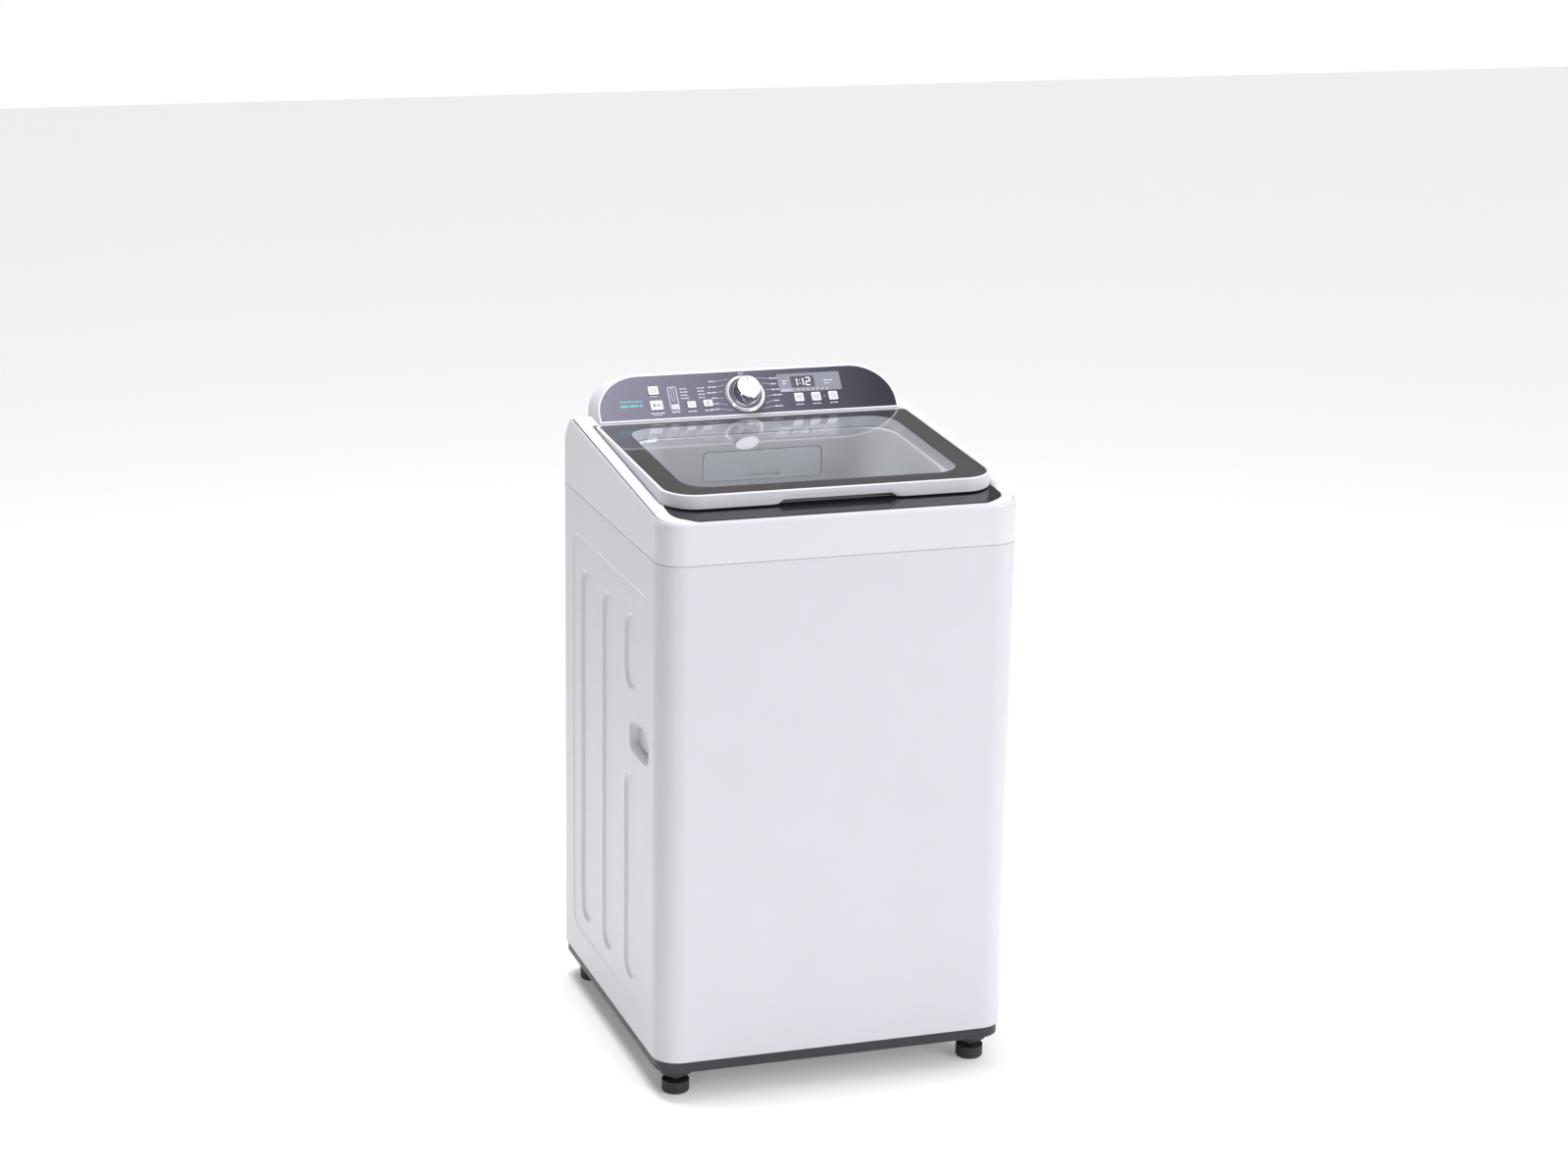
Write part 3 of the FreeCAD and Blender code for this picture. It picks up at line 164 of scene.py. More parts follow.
def shade(colour, factor):
    return tuple(min(1.0, c * factor) for c in colour) + (1.0,)


def surface(
    name, colour, rough, grain, height, vary=0.03, rough_vary=0.04, metal=0.0, coat=0.0, stretch=(1, 1, 1), **more
):
    """A moulded, painted or cast surface: slight tone change, uneven gloss and a fine relief.

    grain is the relief's fineness and height its depth in metres; vary and rough_vary say how much the tone
    and the roughness wander; coat is the strength of a clear gloss over it.
    """
    shader = Shader(name)
    place = shader.place(stretch)
    broad = shader.noise(place, 9.0, 2.0)
    fine = shader.noise(place, grain, 3.0)
    tone = shader.colours(shader.spread(broad, 0.0, 1.0), shade(colour, 1 - vary), shade(colour, 1 + vary))
    shader.link(tone, shader.principled.inputs["Base Color"])
    gloss = shader.spread(shader.noise(place, 40.0, 4.0), rough - rough_vary, rough + rough_vary)
    shader.link(gloss, shader.principled.inputs["Roughness"])
    shader.bump(fine, height)
    shader.set(Metallic=metal, Coat_Weight=coat, **more)
    return shader.material


painted_steel = surface(
    "painted_steel", (0.492, 0.492, 0.530), 0.34, 230.0, 0.00002, 0.01, 0.02, coat=0.35, Coat_Roughness=0.18
)
white_plastic = surface(
    "white_plastic", (0.53, 0.53, 0.567), 0.30, 160.0, 0.000004, 0.01, 0.02, coat=0.25, Coat_Roughness=0.12
)
dark_trim = surface("dark_trim", (0.013, 0.013, 0.016), 0.15, 300.0, 0.000004, 0.10, 0.03)
glass_frit = surface("glass_frit", (0.014, 0.009, 0.010), 0.16, 1500.0, 0.000002, 0.05, 0.03)
chrome = surface("chrome", (0.42, 0.42, 0.46), 0.07, 600.0, 0.000002, 0.02, 0.02, metal=1.0)
knob_disc = surface(
    "knob_disc", (0.74, 0.74, 0.78), 0.22, 1400.0, 0.000006, 0.01, 0.03, 0.6, coat=0.5, Coat_Roughness=0.08
)
clear_ring = surface(
    "clear_ring", (0.62, 0.63, 0.68), 0.10, 900.0, 0.000006, 0.03, 0.02, 0.55, coat=0.7, Coat_Roughness=0.05
)
button_white = surface(
    "button_white", (0.46, 0.46, 0.52), 0.24, 2200.0, 0.000015, 0.02, 0.03, coat=0.4, Coat_Roughness=0.10
)
base_plastic = surface("base_plastic", (0.014, 0.013, 0.017), 0.46, 1600.0, 0.00006, 0.10, 0.05)
foot_rubber = surface("foot_rubber", (0.013, 0.013, 0.016), 0.62, 1300.0, 0.00008, 0.12, 0.06)
black_rubber = surface("black_rubber", (0.022, 0.022, 0.022), 0.60, 1300.0, 0.00008, 0.12, 0.06)
stainless = surface(
    "stainless", (0.62, 0.63, 0.65), 0.24, 700.0, 0.00002, 0.04, 0.05, metal=1.0, stretch=(1, 1, 18)
)
zinc_steel = surface("zinc_steel", (0.55, 0.56, 0.55), 0.34, 500.0, 0.00003, 0.08, 0.08, metal=1.0)
tub_plastic = surface("tub_plastic", (0.55, 0.57, 0.61), 0.44, 900.0, 0.00006, 0.04, 0.05)
inner_grey = surface(
    "inner_grey", (0.62, 0.63, 0.68), 0.30, 1300.0, 0.00003, 0.02, 0.03, coat=0.2, Coat_Roughness=0.15
)
cast_alloy = surface("cast_alloy", (0.48, 0.49, 0.50), 0.48, 380.0, 0.00018, 0.10, 0.08, metal=0.9)
circuit_board = surface("circuit_board", (0.020, 0.14, 0.06), 0.35, 600.0, 0.00005, 0.12, 0.05)
valve_plastic = surface("valve_plastic", (0.70, 0.70, 0.66), 0.42, 1100.0, 0.00005, 0.05, 0.05)
print_white = surface("print_white", (0.50, 0.50, 0.58), 0.5, 1500.0, 0.000005, 0.04, 0.03)
print_teal = surface("print_teal", (0.10, 0.42, 0.44), 0.4, 1500.0, 0.000005, 0.08, 0.03)
print_dark = surface("print_dark", (0.10, 0.10, 0.13), 0.5, 1500.0, 0.000005, 0.06, 0.03)
display_grey = surface(
    "display_grey", (0.135, 0.14, 0.17), 0.16, 1800.0, 0.000004, 0.04, 0.02, coat=0.7, Coat_Roughness=0.04
)
display_dark = surface(
    "display_dark", (0.028, 0.029, 0.045), 0.14, 1800.0, 0.000004, 0.05, 0.02, coat=0.7, Coat_Roughness=0.04
)


def make_clear_glass():
    """Clear glass that also lets the studio's light through to what is behind it."""
    shader = Shader("clear_glass")
    rough = shader.spread(shader.noise(shader.place(), 6.0, 2.0), 0.0, 0.015)
    shader.link(rough, shader.principled.inputs["Roughness"])
    shader.set(Base_Color=(0.99, 1.0, 1.0, 1), Transmission_Weight=1.0, IOR=1.42)
    path = shader.add("ShaderNodeLightPath")
    lighting = shader.add("ShaderNodeMath", operation="MAXIMUM")
    shader.link(path.outputs["Is Shadow Ray"], lighting.inputs[0])
    shader.link(path.outputs["Is Diffuse Ray"], lighting.inputs[1])
    passing = shader.add("ShaderNodeBsdfTransparent", Color=(0.97, 0.98, 0.98, 1))
    mix = shader.add("ShaderNodeMixShader")
    shader.link(lighting.outputs["Value"], mix.inputs["Fac"])
    shader.link(shader.principled.outputs["BSDF"], mix.inputs[1])
    shader.link(passing.outputs["BSDF"], mix.inputs[2])
    shader.link(mix.outputs["Shader"], shader.nodes["Material Output"].inputs["Surface"])
    return shader.material


SLATE_LEFT, SLATE_RIGHT = -0.26, 0.24  # the ends of the painted light's fade across the console film, in metres across


def make_slate():
    """The console's satin film, with painted light on it: lighter at its left end, near black at its right."""
    shader = Shader("panel_slate")
    place = shader.place()
    parts = shader.add("ShaderNodeSeparateXYZ")
    shader.link(place, parts.inputs["Vector"])
    along = shader.add("ShaderNodeMapRange")
    along.inputs["From Min"].default_value = SLATE_LEFT
    along.inputs["From Max"].default_value = SLATE_RIGHT
    shader.link(parts.outputs["X"], along.inputs["Value"])
    # painted light: the film's colour runs from lighter at its left end to near black at its right, standing in
    # for how the light falls on it
    painted_light_fade = shader.colours(along.outputs["Result"], (0.15, 0.145, 0.19, 1), (0.015, 0.015, 0.026, 1))
    grain = shader.colours(shader.noise(place, 900.0), (0.95, 0.95, 0.95, 1), (1, 1, 1, 1))
    tone = shader.add("ShaderNodeMix", data_type="RGBA", blend_type="MULTIPLY")
    tone.inputs["Factor"].default_value = 1.0
    shader.link(painted_light_fade, tone.inputs["A"])
    shader.link(grain, tone.inputs["B"])
    shader.link(tone.outputs["Result"], shader.principled.inputs["Base Color"])
    gloss = shader.spread(shader.noise(place, 40.0, 4.0), 0.26, 0.32)
    shader.link(gloss, shader.principled.inputs["Roughness"])
    shader.set(Metallic=0.1, Specular_IOR_Level=0.3)
    return shader.material


def make_lit(name, colour, strength):
    """A printed or lit segment: coloured plastic with a soft glow of its own."""
    shader = Shader(name)
    place = shader.place()
    tone = shader.colours(shader.noise(place, 300.0), shade(colour, 0.92), shade(colour, 1.05))
    shader.link(tone, shader.principled.inputs["Base Color"])
    shader.set(Roughness=0.4, Emission_Color=shade(colour, 1.0), Emission_Strength=strength)
    return shader.material


clear_glass = make_clear_glass()
panel_slate = make_slate()
lit_white = make_lit("lit_white", (0.86, 0.88, 0.95), 0.35)
lit_cyan = make_lit("lit_cyan", (0.45, 0.85, 0.88), 0.5)

NODE_MATERIALS = {
    "painted_steel": painted_steel,
    "white_plastic": white_plastic,
    "dark_trim": dark_trim,
    "lid_glass": glass_frit,
    "panel_slate": panel_slate,
    "display": display_grey,
    "chrome": chrome,
    "clear_ring": clear_ring,
    "button_white": button_white,
    "base_plastic": base_plastic,
    "foot_rubber": foot_rubber,
    "stainless": stainless,
    "zinc_steel": zinc_steel,
    "tub_plastic": tub_plastic,
    "inner_grey": inner_grey,
    "cast_alloy": cast_alloy,
    "black_rubber": black_rubber,
    "circuit_board": circuit_board,
    "valve_plastic": valve_plastic,
}


def dress_cad_nodes():
    """Every CAD node takes the material that its slot in the record names."""
    for part in frame["record"]["subparts"]:
        piece = frame["nodes"][part["node"]]
        piece.data.materials.clear()
        piece.data.materials.append(NODE_MATERIALS[part["material_slot"]])


# Mesh building ------------------------------------------------------------------------------------


def new_piece(name, points, faces, material, place, body, slot, smooth_degrees=35):
    """A piece from points and faces in the units of its place, riding on a body."""
    mesh = bpy.data.meshes.new(name)
    mesh.from_pydata([place @ Vector(p) for p in points], [], faces)
    mesh.validate()
    mesh.shade_smooth()
    mesh.set_sharp_from_angle(angle=math.radians(smooth_degrees))
    for face in mesh.polygons:
        face.use_smooth = len(face.vertices) <= 4  # a flat end keeps its own normal
    mesh.materials.append(material)
    piece = bpy.data.objects.new(name, mesh)
    bpy.context.scene.collection.objects.link(piece)
    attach(piece, body)
    return piece


def rounded(x0, x1, y0, y1, radii, height, steps=8):
    """A loop of points round a rectangle with rounded corners, anticlockwise from the front right corner."""
    front, rear = radii if isinstance(radii, tuple) else (radii, radii)
    corners = (
        (x1 - front, y0 + front, front, -90),
        (x1 - rear, y1 - rear, rear, 0),
        (x0 + rear, y1 - rear, rear, 90),
        (x0 + front, y0 + front, front, 180),
    )
    loop = []
    for cx, cy, radius, start in corners:
        for i in range(steps + 1):
            angle = math.radians(start + 90 * i / steps)
            loop.append((cx + radius * math.cos(angle), cy + radius * math.sin(angle), height))
    return loop


def skin(loops, ring=False):
    """Points and faces that join equal loops in order: closed at both ends, or joined end to end."""
    count = len(loops[0])
    points = [p for loop in loops for p in loop]
    faces = []
    bands = len(loops) if ring else len(loops) - 1
    for k in range(bands):
        low = k * count
        high = ((k + 1) % len(loops)) * count
        for i in range(count):
            j = (i + 1) % count
            faces.append((low + i, low + j, high + j, high + i))
    if not ring:
        faces.append(tuple(reversed(range(count))))
        faces.append(tuple(range(len(points) - count, len(points))))
    return points, faces


def turned(profile, x, y, segments):
    """The loops of a lathe form about a point, from its (radius, height) profile."""
    loops = []
    for radius, height in profile:
        loop = []
        for i in range(segments):
            angle = 2 * math.pi * i / segments
            loop.append((x + radius * math.cos(angle), y + radius * math.sin(angle), height))
        loops.append(loop)
    return loops


def plate(x0, x1, y0, y1, low, high, radius, edge, steps=6):
    """Loops for a plate with rounded corners and a softened upper edge."""
    def at(inset, height):
        r = max(radius - inset, 0.05)
        return rounded(x0 + inset, x1 - inset, y0 + inset, y1 - inset, r, height, steps)
    loops = [at(0, low)]
    for i in range(4):
        angle = math.radians(30 * i)
        loops.append(at(edge * (1 - math.cos(angle)), high - edge + edge * math.sin(angle)))
    return loops


class Pile:
    """Several closed solids collected in one mesh."""

    def __init__(self):
        self.points = []
        self.faces = []

    def add(self, loops, ring=False):
        points, faces = skin(loops, ring)
        start = len(self.points)
        self.points += points
        self.faces += [tuple(i + start for i in face) for face in faces]

    def slab(self, x0, x1, y0, y1, low, high, radius=0.3, edge=0.03, steps=3):
        """A flat raised patch with rounded corners, no rounder than its sides allow."""
        fitted = min(radius, (x1 - x0) / 2.01, (y1 - y0) / 2.01)
        self.add(plate(x0, x1, y0, y1, low, high, fitted, edge, steps))

    def piece(self, name, material, place, body, slot):
        return new_piece(name, self.points, self.faces, material, place, body, slot)

    def frame_line(self, x0, x1, y0, y1, low, high, radius, wide):
        """A raised outline: a rounded rectangle drawn with a line of the given width."""
        outer = [rounded(x0, x1, y0, y1, radius, z, 4) for z in (low, high)]
        inside = max(radius - wide, 0.1)
        inner = [rounded(x0 + wide, x1 - wide, y0 + wide, y1 - wide, inside, z, 4) for z in (high, low)]
        self.add(outer + inner, ring=True)

    def arc(self, x, y, radius, wide, start, end, low, high, steps=20):
        """A raised arc drawn from one angle to another, in degrees."""
        loops = []
        for k in range(steps + 1):
            angle = math.radians(start + (end - start) * k / steps)
            across, up = math.cos(angle), math.sin(angle)
            near, far = radius - wide / 2, radius + wide / 2
            section = ((near, low), (far, low), (far, high), (near, high))
            loops.append([(x + r * across, y + r * up, z) for r, z in section])
        self.add(loops if end < start else loops[::-1])

    def stroke(self, x0, y0, x1, y1, wide, low, high):
        """A straight raised line between two points."""
        along = Vector((x1 - x0, y1 - y0))
        side = Vector((-along.y, along.x)).normalized() * wide / 2
        near, far = Vector((x0, y0)), Vector((x1, y1))
        ends = (near - side, far - side, far + side, near + side)
        self.add([[(x, y, z) for x, y in ends] for z in (low, high)])

    def words(self, x, y, length, height, low, high, seed=0.0, centred=False):
        """A printed label too small to read: a row of uneven little blocks."""
        left = x - length / 2 if centred else x
        bottom = y - height / 2
        at = 0.0
        k = 0
        while at < length - 0.5:
            step = height * (0.42 + 0.28 * abs(math.sin(seed + 2.3 * k)))
            if k % 6 == 5:
                at += height * 0.45  # the gap between two words
            tall = height * (0.78 + 0.22 * abs(math.cos(seed * 1.7 + 1.9 * k)))
            wide = min(step * 0.78, length - at)
            self.slab(left + at, left + at + wide, bottom, bottom + tall, low, high, 0.1, 0.02, 2)
            at += step
            k += 1


# The lid's glass ----------------------------------------------------------------------------------

WINDOW_HALF = 232.0
WINDOW_FRONT = 47.0
WINDOW_REAR = 32.0
WINDOW_RADIUS = 46.0
LID_FRONT_RADIUS = 55.0
LID_REAR_RADIUS = 14.0
LID_STEPS = 14  # points round each corner of the glass
FRIT_THICK = 0.45  # the dark border under the glass
FRIT_GAP = 0.05


def lid_loop(inset, height):
    """The lid's outline, drawn in by inset."""
    radii = (LID_FRONT_RADIUS - inset, LID_REAR_RADIUS - min(inset, LID_REAR_RADIUS - 2))
    half = LID_HALF - inset
    return rounded(-half, half, inset, LID_LENGTH - inset, radii, height, LID_STEPS)


def window_loop(height):
    rear = LID_LENGTH - WINDOW_REAR
    return rounded(-WINDOW_HALF, WINDOW_HALF, WINDOW_FRONT, rear, WINDOW_RADIUS, height, LID_STEPS)


def make_lid_glass():
    """The clear pane with softened edges, and the dark border printed on its underside."""
    bevel = 0.6
    print_low = GLASS_TOP - GLASS_THICK
    print_high = print_low + FRIT_THICK
    pane_low = print_high + FRIT_GAP
    loops = [
        lid_loop(GLASS_EDGE + 0.3, pane_low),
        lid_loop(GLASS_EDGE, pane_low + 0.3),
        lid_loop(GLASS_EDGE, GLASS_TOP - bevel),
        lid_loop(GLASS_EDGE + 0.2, GLASS_TOP - 0.2),
        lid_loop(GLASS_EDGE + bevel, GLASS_TOP),
    ]
    pane = new_piece("lid_glass_pane", *skin(loops), clear_glass, LID, "lid", "lid_glass")
    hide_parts("lid_glass")
    edge = GLASS_EDGE + 0.4
    outside = [lid_loop(edge, print_low), lid_loop(edge, print_high)]
    inside = [window_loop(print_high), window_loop(print_low)]
    new_piece("lid_glass_border", *skin(outside + inside, ring=True), glass_frit, LID, "lid", "lid_glass")


# Console prints -----------------------------------------------------------------------------------

INK = 0.07  # thickness of a print
SUNK = -0.04  # prints start just under the surface they are on

KNOB_U, KNOB_V = -4.0, 40.0  # the dial's centre on the face
KNOB_TOP = 28.0


def lift(node):
    """How far a node stands out of the console's face, in millimetres."""
    return max((v.co / MM - face_origin).dot(face_out) for v in frame["nodes"][node].data.vertices)


def make_panel_prints():
    """The console's printed lines, labels and mark, all generic."""
    ink = Pile()
    low, high = SUNK, INK
    # the water level's outline with its bar, and the four states beside it
    ink.frame_line(-138, -122.5, 15, 61, low, high, 3.0, 1.1)
    ink.frame_line(-133, -127.5, 34, 58, low, high, 1.6, 0.7)
    for k in range(4):
        ink.words(-117, 38 + 6 * k, 15 - 2 * (k % 2), 2.0, low, high, k)
        ink.words(-86, 38 + 6 * k, 11 + 2 * (k % 2), 2.0, low, high, 3 + k)
    # names under the buttons
    for u, wide in ((-162, 24), (-130, 14), (-101, 15), (-72, 14)):
        ink.words(u, 13.0, wide, 2.2, low, high, u, centred=True)
    ink.words(-162, 9.6, 16, 1.6, low, high, 1, centred=True)
    ink.words(-163, 44.5, 14, 1.6, low, high, 4, centred=True)
    for u in (90, 120.5, 151):
        ink.words(u, 14.8, 15, 2.0, low, high, u, centred=True)
    ink.slab(133.5, 138.0, 27.0, 27.9, low, high)
    # programmes round the dial, with a leader line to each
    for k in range(6):
        angle = math.radians(-50 + 20 * k)
        for side in (-1, 1):
            near = Vector((KNOB_U + side * 38.5 * math.cos(angle), KNOB_V + 38.5 * math.sin(angle)))
            far_u = KNOB_U + side * 47
            far_v = KNOB_V - 26 + 10.6 * k
            ink.stroke(near.x, near.y, far_u, far_v, 0.5, low, high)
            length = 17 - 3 * ((k + (side > 0)) % 3)
            start = far_u + 1.5 if side > 0 else far_u - 1.5 - length
            ink.words(start, far_v, length, 2.3, low, high, k + side)
    ink.words(KNOB_U, KNOB_V + 39.5, 9, 1.8, low, high, 2, centred=True)
    ink.piece("console_prints", print_white, FACE, "cabinet_unit", "button_white")

    mark = Pile()
    for k in range(5):
        mark.arc(-221 + 8 * k, 34.5, 3.2, 1.3, 180, 0, low, high, 12)
    mark.words(-224, 28.6, 38, 4.4, low, high, 5)
    mark.piece("console_mark", print_teal, FACE, "cabinet_unit", "display")


SEGMENTS = {1: "bc", 2: "abged"}
SEGMENT_WIDE = 1.25
SEGMENT_GAP = 0.45


def add_digit(pile, digit, u, v, width, height, low, high):
    """A seven-segment figure, from its lower left corner."""
    half = height / 2
    places = {
        "a": (u, v + height, u + width, v + height),
        "g": (u, v + half, u + width, v + half),
        "d": (u, v, u + width, v),
        "f": (u, v + half, u, v + height),
        "e": (u, v, u, v + half),
        "b": (u + width, v + half, u + width, v + height),
        "c": (u + width, v, u + width, v + half),
    }
    for name in SEGMENTS[digit]:
        x0, y0, x1, y1 = places[name]
        trim_x = SEGMENT_GAP if x1 > x0 else 0.0
        trim_y = SEGMENT_GAP if y1 > y0 else 0.0
        pile.stroke(x0 + trim_x, y0 + trim_y, x1 - trim_x, y1 - trim_y, SEGMENT_WIDE, low, high)


def make_display():
    """The display's dark field, its lit figures, and the small prints beside them."""
    glass = lift("display_window")
    dark = Pile()
    dark.slab(81, 123, 46.5, 68.5, glass + SUNK, glass + INK, 1.0)
    dark.piece("display_digits_field", display_dark, FACE, "cabinet_unit", "display")

    lit = Pile()
    low, high = glass + INK - 0.03, glass + 2 * INK
    line, tall = 50.5, 14.0
    add_digit(lit, 1, 86, line, 6.0, tall, low, high)
    for dot in (line + 4, line + 10):
        lit.slab(96.2, 97.8, dot - 0.8, dot + 0.8, low, high, 0.5)
    add_digit(lit, 1, 97, line, 6.0, tall, low, high)
    add_digit(lit, 2, 108, line, 7.5, tall, low, high)
    lit.piece("display_digits", lit_white, FACE, "cabinet_unit", "display")

    ink = Pile()
    low, high = glass + SUNK, glass + INK
    for k in range(7):
        u = 92 + 8.6 * k
        ink.frame_line(u - 1.7, u + 1.7, 41.2, 44.2, low, high, 0.7, 0.45)
    ink.words(66, 60, 9, 1.9, low, high, 1)
    ink.words(66, 55, 7, 1.9, low, high, 2)
    ink.words(140, 58, 16, 2.4, low, high, 3)
    ink.words(140, 52.5, 10, 1.7, low, high, 4)
    ink.frame_line(61, 83, 40.4, 45.0, low, high, 0.9, 0.4)
    ink.words(63, 42.7, 17, 1.6, low, high, 6)
    ink.piece("display_icons", print_white, FACE, "cabinet_unit", "display")


# Each button's centre on the face (across, up)
KEYS = {
    "power": (-163.0, 55.0),
    "start": (-162.0, 27.0),
    "level": (-130.0, 22.0),
    "water": (-101.0, 25.0),
    "rinse": (-72.0, 26.0),
    "spin": (90.0, 27.5),
    "soak": (120.5, 27.5),
    "delay": (151.0, 27.5),
}


def draw_sign(sign, key, u, v, low, high):
    """A plain generic sign for a button, about its centre."""
    if key == "power":
        sign.arc(u, v, 3.4, 0.8, 120, 420, low, high, 28)
        sign.stroke(u, v + 0.8, u, v + 4.6, 0.8, low, high)
    elif key == "start":
        points = ((u - 5.5, v - 3.4), (u - 0.2, v), (u - 5.5, v + 3.4))
        sign.add([[(x, y, z) for x, y in points] for z in (low, high)])
        for du in (2.2, 5.0):
            sign.stroke(u + du, v - 3.2, u + du, v + 3.2, 1.2, low, high)
    elif key in ("level", "water"):
        for k in range(2):
            wave_v = v - 1.6 + 3.2 * k
            sign.arc(u - 2.34, wave_v, 1.5, 0.55, 180, 0, low, high, 10)
            sign.arc(u + 2.34, wave_v, 1.5, 0.55, 360, 180, low, high, 10)
    elif key == "rinse":
        for radius in (1.6, 3.4):
            sign.arc(u, v, radius, 0.6, 30, 330, low, high, 24)
    elif key == "spin":
        for start in (0, 120, 240):
            sign.arc(u, v, 3.8, 0.8, start, start + 85, low, high, 12)
        sign.arc(u, v, 1.2, 0.7, 0, 359.5, low, high, 16)
    elif key == "soak":
        sign.frame_line(u - 4.2, u + 4.2, v - 3.6, v + 2.6, low, high, 1.2, 0.7)
        sign.stroke(u - 3.0, v - 0.4, u + 3.0, v - 0.4, 0.6, low, high)
    elif key == "delay":
        sign.arc(u, v, 3.9, 0.7, 0, 359.5, low, high, 28)
        sign.stroke(u, v, u, v + 2.7, 0.6, low, high)
        sign.stroke(u, v, u + 2.0, v, 0.6, low, high)


def make_button_signs():
    """A sign on every button, and the lamp on the power button."""
    for key, (u, v) in KEYS.items():
        top = lift("button_" + key)
        sign = Pile()
        draw_sign(sign, key, u, v, top + SUNK, top + INK)
        sign.piece(key + "_sign", print_dark, FACE, "key_" + key, "display")
    top = lift("button_power")
    lamp = Pile()
    lamp.slab(-171, -155, 58.9, 61.6, top + SUNK, top + INK, 0.9)
    lamp.piece("power_lamp", lit_cyan, FACE, "key_power", "display")


def make_knob_face():
    """The satin disc let into the dial's top, with its pointer."""
    profile = (
        (0.5, KNOB_TOP - 0.7),
        (19.6, KNOB_TOP - 0.3),
        (19.9, KNOB_TOP),
        (19.6, KNOB_TOP + 0.25),
        (19.0, KNOB_TOP + 0.3),
        (0.5, KNOB_TOP + 0.1),
    )
    disc = turned(profile, KNOB_U, KNOB_V, 120)
    new_piece("knob_face", *skin(disc), knob_disc, FACE, "dial", "chrome")
    pointer = Pile()
    near, far = KNOB_V + 11.5, KNOB_V + 18.0
    pointer.slab(KNOB_U - 0.8, KNOB_U + 0.8, near, far, KNOB_TOP, KNOB_TOP + 0.42, 0.7, 0.1, 5)
    pointer.piece("knob_pointer", print_dark, FACE, "dial", "display")


# The basket's pierced wall ------------------------------------------------------------------------


def make_basket_wall():
    """The spin basket's wall with its drain holes, every second row set over by half a pitch."""
    low, high = box_mm("wash_basket")
    outer = high.x
    inner = outer - 1.0
    around = 96
    rows = 22
    margin = 16.0
    pitch = (high.z - low.z - 2 * margin) / rows
    points = []
    faces = []

    def vertex(turn, height, radius):
        angle = 2 * math.pi * turn / around
        points.append((radius * math.cos(angle), radius * math.sin(angle), height))
        return len(points) - 1

    circle = [(math.cos(math.radians(45 * k)), math.sin(math.radians(45 * k))) for k in range(8)]
    square = ((0.5, 0), (0.5, 0.5), (0, 0.5), (-0.5, 0.5), (-0.5, 0), (-0.5, -0.5), (0, -0.5), (0.5, -0.5))
    hole = 2.0
    width = 2 * math.pi * outer / around
    skins = {}
    for radius, flip in ((outer, False), (inner, True)):
        grid = {}

        def shared(turn, height):
            key = (round(turn * 4) % (around * 4), round(height, 3))
            if key not in grid:
                grid[key] = vertex(turn, height, radius)
            return grid[key]

        rims = []
        for row in range(rows):
            centre = low.z + margin + pitch * (row + 0.5)
            for column in range(around):
                middle = column + 0.5 * (row % 2)
                frame_points = [shared(middle + du, centre + dv * pitch) for du, dv in square]
                rim = [vertex(middle + hole / width * cu, centre + hole * cv, radius) for cu, cv in circle]
                rims.append(rim)
                for k in range(8):
                    j = (k + 1) % 8
                    face = (frame_points[k], frame_points[j], rim[j], rim[k])
                    faces.append(face[::-1] if flip else face)
        edges = {}
        for name, level, row_edge in (("low", low.z, low.z + margin), ("high", high.z, high.z - margin)):
            ends = [vertex(k / 2, level, radius) for k in range(around * 2)]
            joins = [shared(k / 2, row_edge) for k in range(around * 2)]
            for k in range(around * 2):
                j = (k + 1) % (around * 2)
                face = (ends[k], ends[j], joins[j], joins[k])
                down = name == "high"
                faces.append(face[::-1] if flip != down else face)
            edges[name] = ends
        skins[flip] = (rims, edges)
    for rim_out, rim_in in zip(skins[False][0], skins[True][0]):
        for k in range(8):
            j = (k + 1) % 8
            faces.append((rim_out[k], rim_out[j], rim_in[j], rim_in[k]))
    for name in ("low", "high"):
        out_edge = skins[False][1][name]
        in_edge = skins[True][1][name]
        for k in range(around * 2):
            j = (k + 1) % (around * 2)
            face = (out_edge[k], out_edge[j], in_edge[j], in_edge[k])
            faces.append(face[::-1] if name == "low" else face)
    wall = new_piece("basket_wall", points, faces, stainless, DRUM, "basket_unit", "stainless", 50)
    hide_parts("wash_basket")


# Camera, light and floor --------------------------------------------------------------------------


def aim(thing, position, target):
    """Puts a thing at a position and turns it to face a target."""
    thing.location = position
    thing.rotation_euler = (Vector(target) - Vector(position)).to_track_quat("-Z", "Y").to_euler()


def set_camera():
    """The photograph's viewpoint: turned right by yaw, down by pitch, and rolled slightly."""
    camera = bpy.data.objects.new("camera", bpy.data.cameras.new("camera"))
    camera.data.lens = 78.7
    camera.data.sensor_width = 36.0
    camera.data.clip_end = 60.0
    yaw, pitch, roll = 0.32381, 0.26990, 0.0152876
    forward = Vector((math.sin(yaw) * math.cos(pitch), math.cos(yaw) * math.cos(pitch), -math.sin(pitch)))
    right = Vector((math.cos(yaw), -math.sin(yaw), 0))
    up = right.cross(forward)
    right_rolled = right * math.cos(roll) + up * math.sin(roll)
    up_rolled = up * math.cos(roll) - right * math.sin(roll)
    turn = Matrix((right_rolled, up_rolled, -forward)).transposed().to_4x4()
    camera.matrix_world = Matrix.Translation((-1.7422, -5.2108, 2.2781)) @ turn
    bpy.context.scene.collection.objects.link(camera)
    bpy.context.scene.camera = camera


def soft_light(name, position, target, width, height, power, mirrored=True):
    """A studio softbox; one that isn't mirrored lights things but leaves no glare on glass."""
    data = bpy.data.lights.new(name, "AREA")
    data.shape = "RECTANGLE"
    data.size = width
    data.size_y = height
    data.energy = power
    light = bpy.data.objects.new(name, data)
    light.visible_glossy = mirrored
    bpy.context.scene.collection.objects.link(light)
    aim(light, position, target)


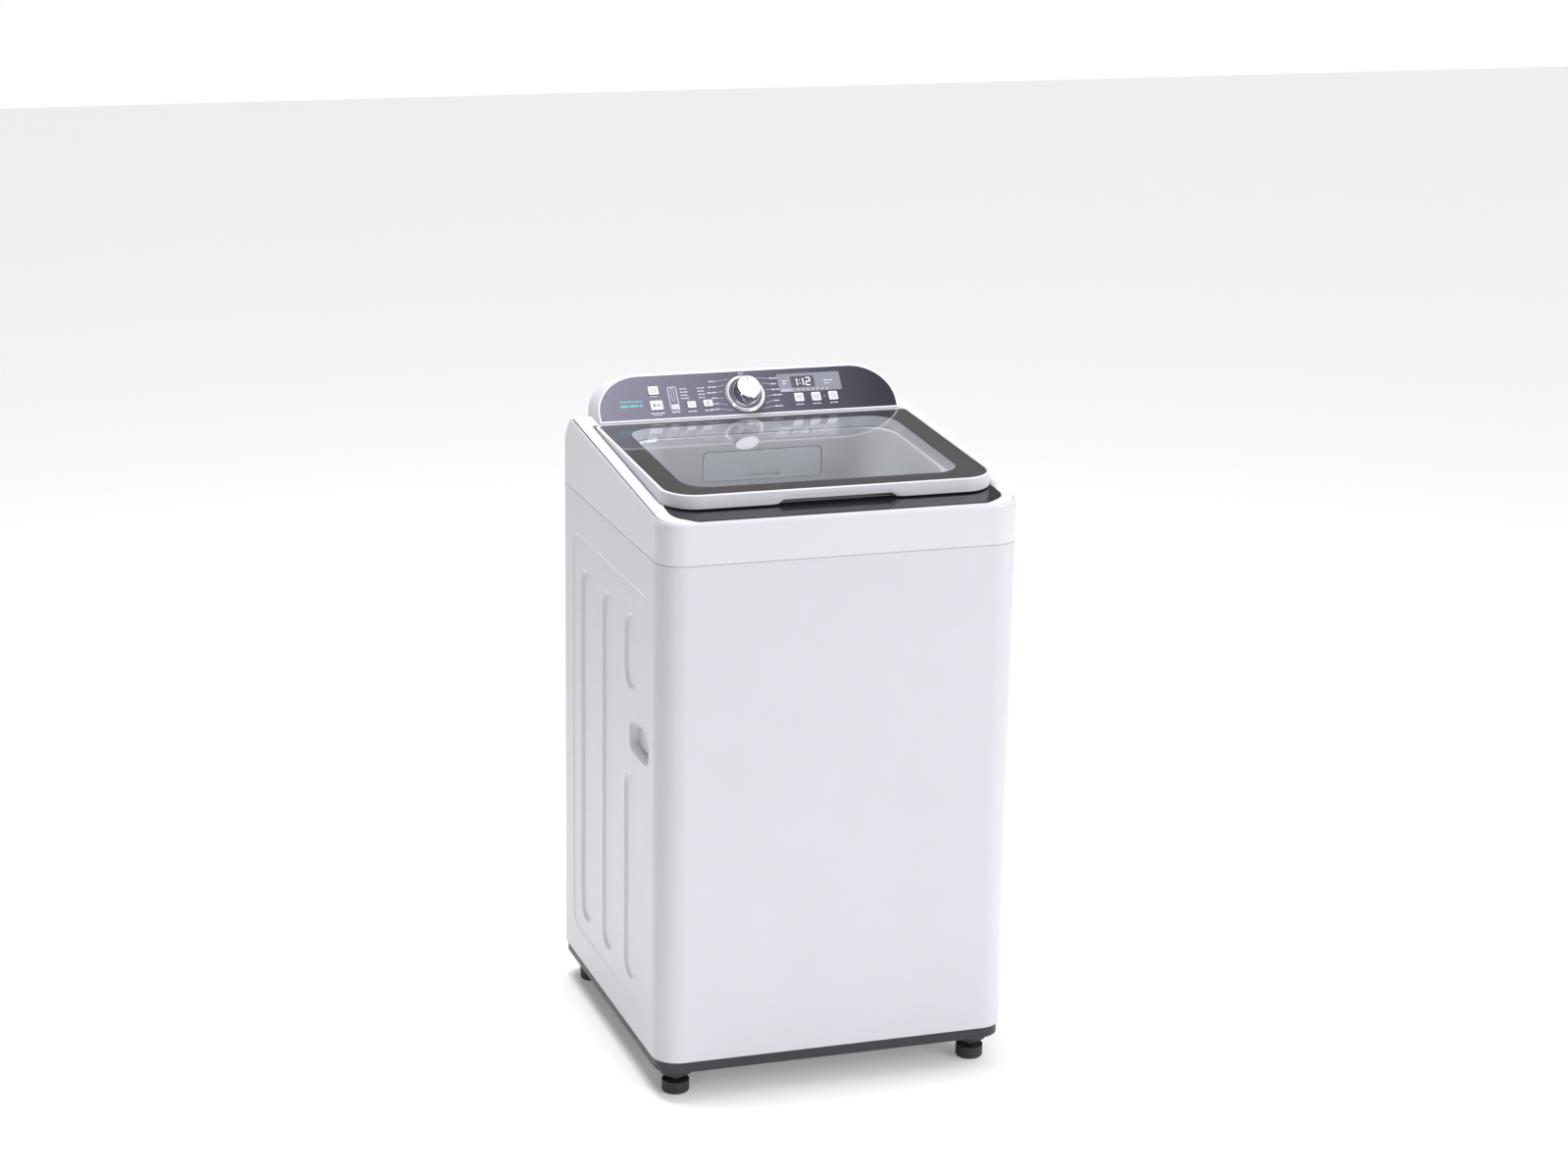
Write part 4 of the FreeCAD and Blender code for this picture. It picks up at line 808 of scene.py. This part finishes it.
def set_world():
    """A white studio, dimmer on the object's left, with a dark band above the sweep behind it."""
    world = bpy.data.worlds.new("studio")
    world.use_nodes = True
    nodes = world.node_tree.nodes
    links = world.node_tree.links
    background = nodes["Background"]
    direction = nodes.new("ShaderNodeTexCoord")
    parts = nodes.new("ShaderNodeSeparateXYZ")
    links.new(direction.outputs["Generated"], parts.inputs["Vector"])

    def ranged(source, start, end, low, high):
        node = nodes.new("ShaderNodeMapRange")
        node.interpolation_type = "SMOOTHSTEP"
        for name, value in (("From Min", start), ("From Max", end), ("To Min", low), ("To Max", high)):
            node.inputs[name].default_value = value
        links.new(source, node.inputs["Value"])
        return node.outputs["Result"]

    def times(first, second):
        node = nodes.new("ShaderNodeMath")
        node.operation = "MULTIPLY"
        links.new(first, node.inputs[0])
        links.new(second, node.inputs[1])
        return node.outputs["Value"]

    side = ranged(parts.outputs["X"], -0.75, 0.45, 0.10, 1.40)
    behind = ranged(parts.outputs["Y"], 0.15, 0.55, 0.0, 1.0)
    rising = ranged(parts.outputs["Z"], 0.02, 0.14, 0.0, 1.0)
    under_top = ranged(parts.outputs["Z"], 0.55, 0.8, 1.0, 0.0)
    band = ranged(times(behind, times(rising, under_top)), 0.0, 1.0, 1.0, 0.15)
    # the backdrop itself is plain white; the shaping above is for light and mirrors only
    path = nodes.new("ShaderNodeLightPath")
    strength = nodes.new("ShaderNodeMix")
    links.new(path.outputs["Is Camera Ray"], strength.inputs["Factor"])
    links.new(times(side, band), strength.inputs["A"])
    strength.inputs["B"].default_value = 1.0
    links.new(strength.outputs["Result"], background.inputs["Strength"])
    background.inputs["Color"].default_value = (1.0, 1.0, 1.02, 1)
    bpy.context.scene.world = world


def set_floor():
    """A pale studio floor."""
    shader = Shader("floor")
    place = shader.place()
    tone = shader.colours(shader.noise(place, 2.0), (0.97, 0.97, 0.97, 1), (0.98, 0.98, 0.98, 1))
    shader.link(tone, shader.principled.inputs["Base Color"])
    shader.set(Roughness=0.6, Emission_Color=(1, 1, 1, 1), Emission_Strength=0.17)
    mesh = bpy.data.meshes.new("floor")
    half = 12.0
    corners = [(-half, -half, 0), (half, -half, 0), (half, half, 0), (-half, half, 0)]
    mesh.from_pydata(corners, [], [(0, 1, 2, 3)])
    mesh.materials.append(shader.material)
    floor = bpy.data.objects.new("floor", mesh)
    bpy.context.scene.collection.objects.link(floor)


dress_cad_nodes()
make_lid_glass()
make_panel_prints()
make_display()
make_button_signs()
make_knob_face()
make_basket_wall()
set_camera()
set_world()
set_floor()
soft_light("corner_strip", (-2.3, -2.9, 1.3), (-0.3, -0.3, 0.55), 0.3, 2.2, 14)
soft_light("top_soft", (-0.45, 0.2, 3.0), (0, 0.05, 1.0), 1.0, 1.2, 76, mirrored=False)
soft_light("front_soft", (2.4, -3.2, 1.5), (0, 0, 0.6), 1.8, 1.8, 48)
bpy.context.scene.view_settings.view_transform = "Standard"
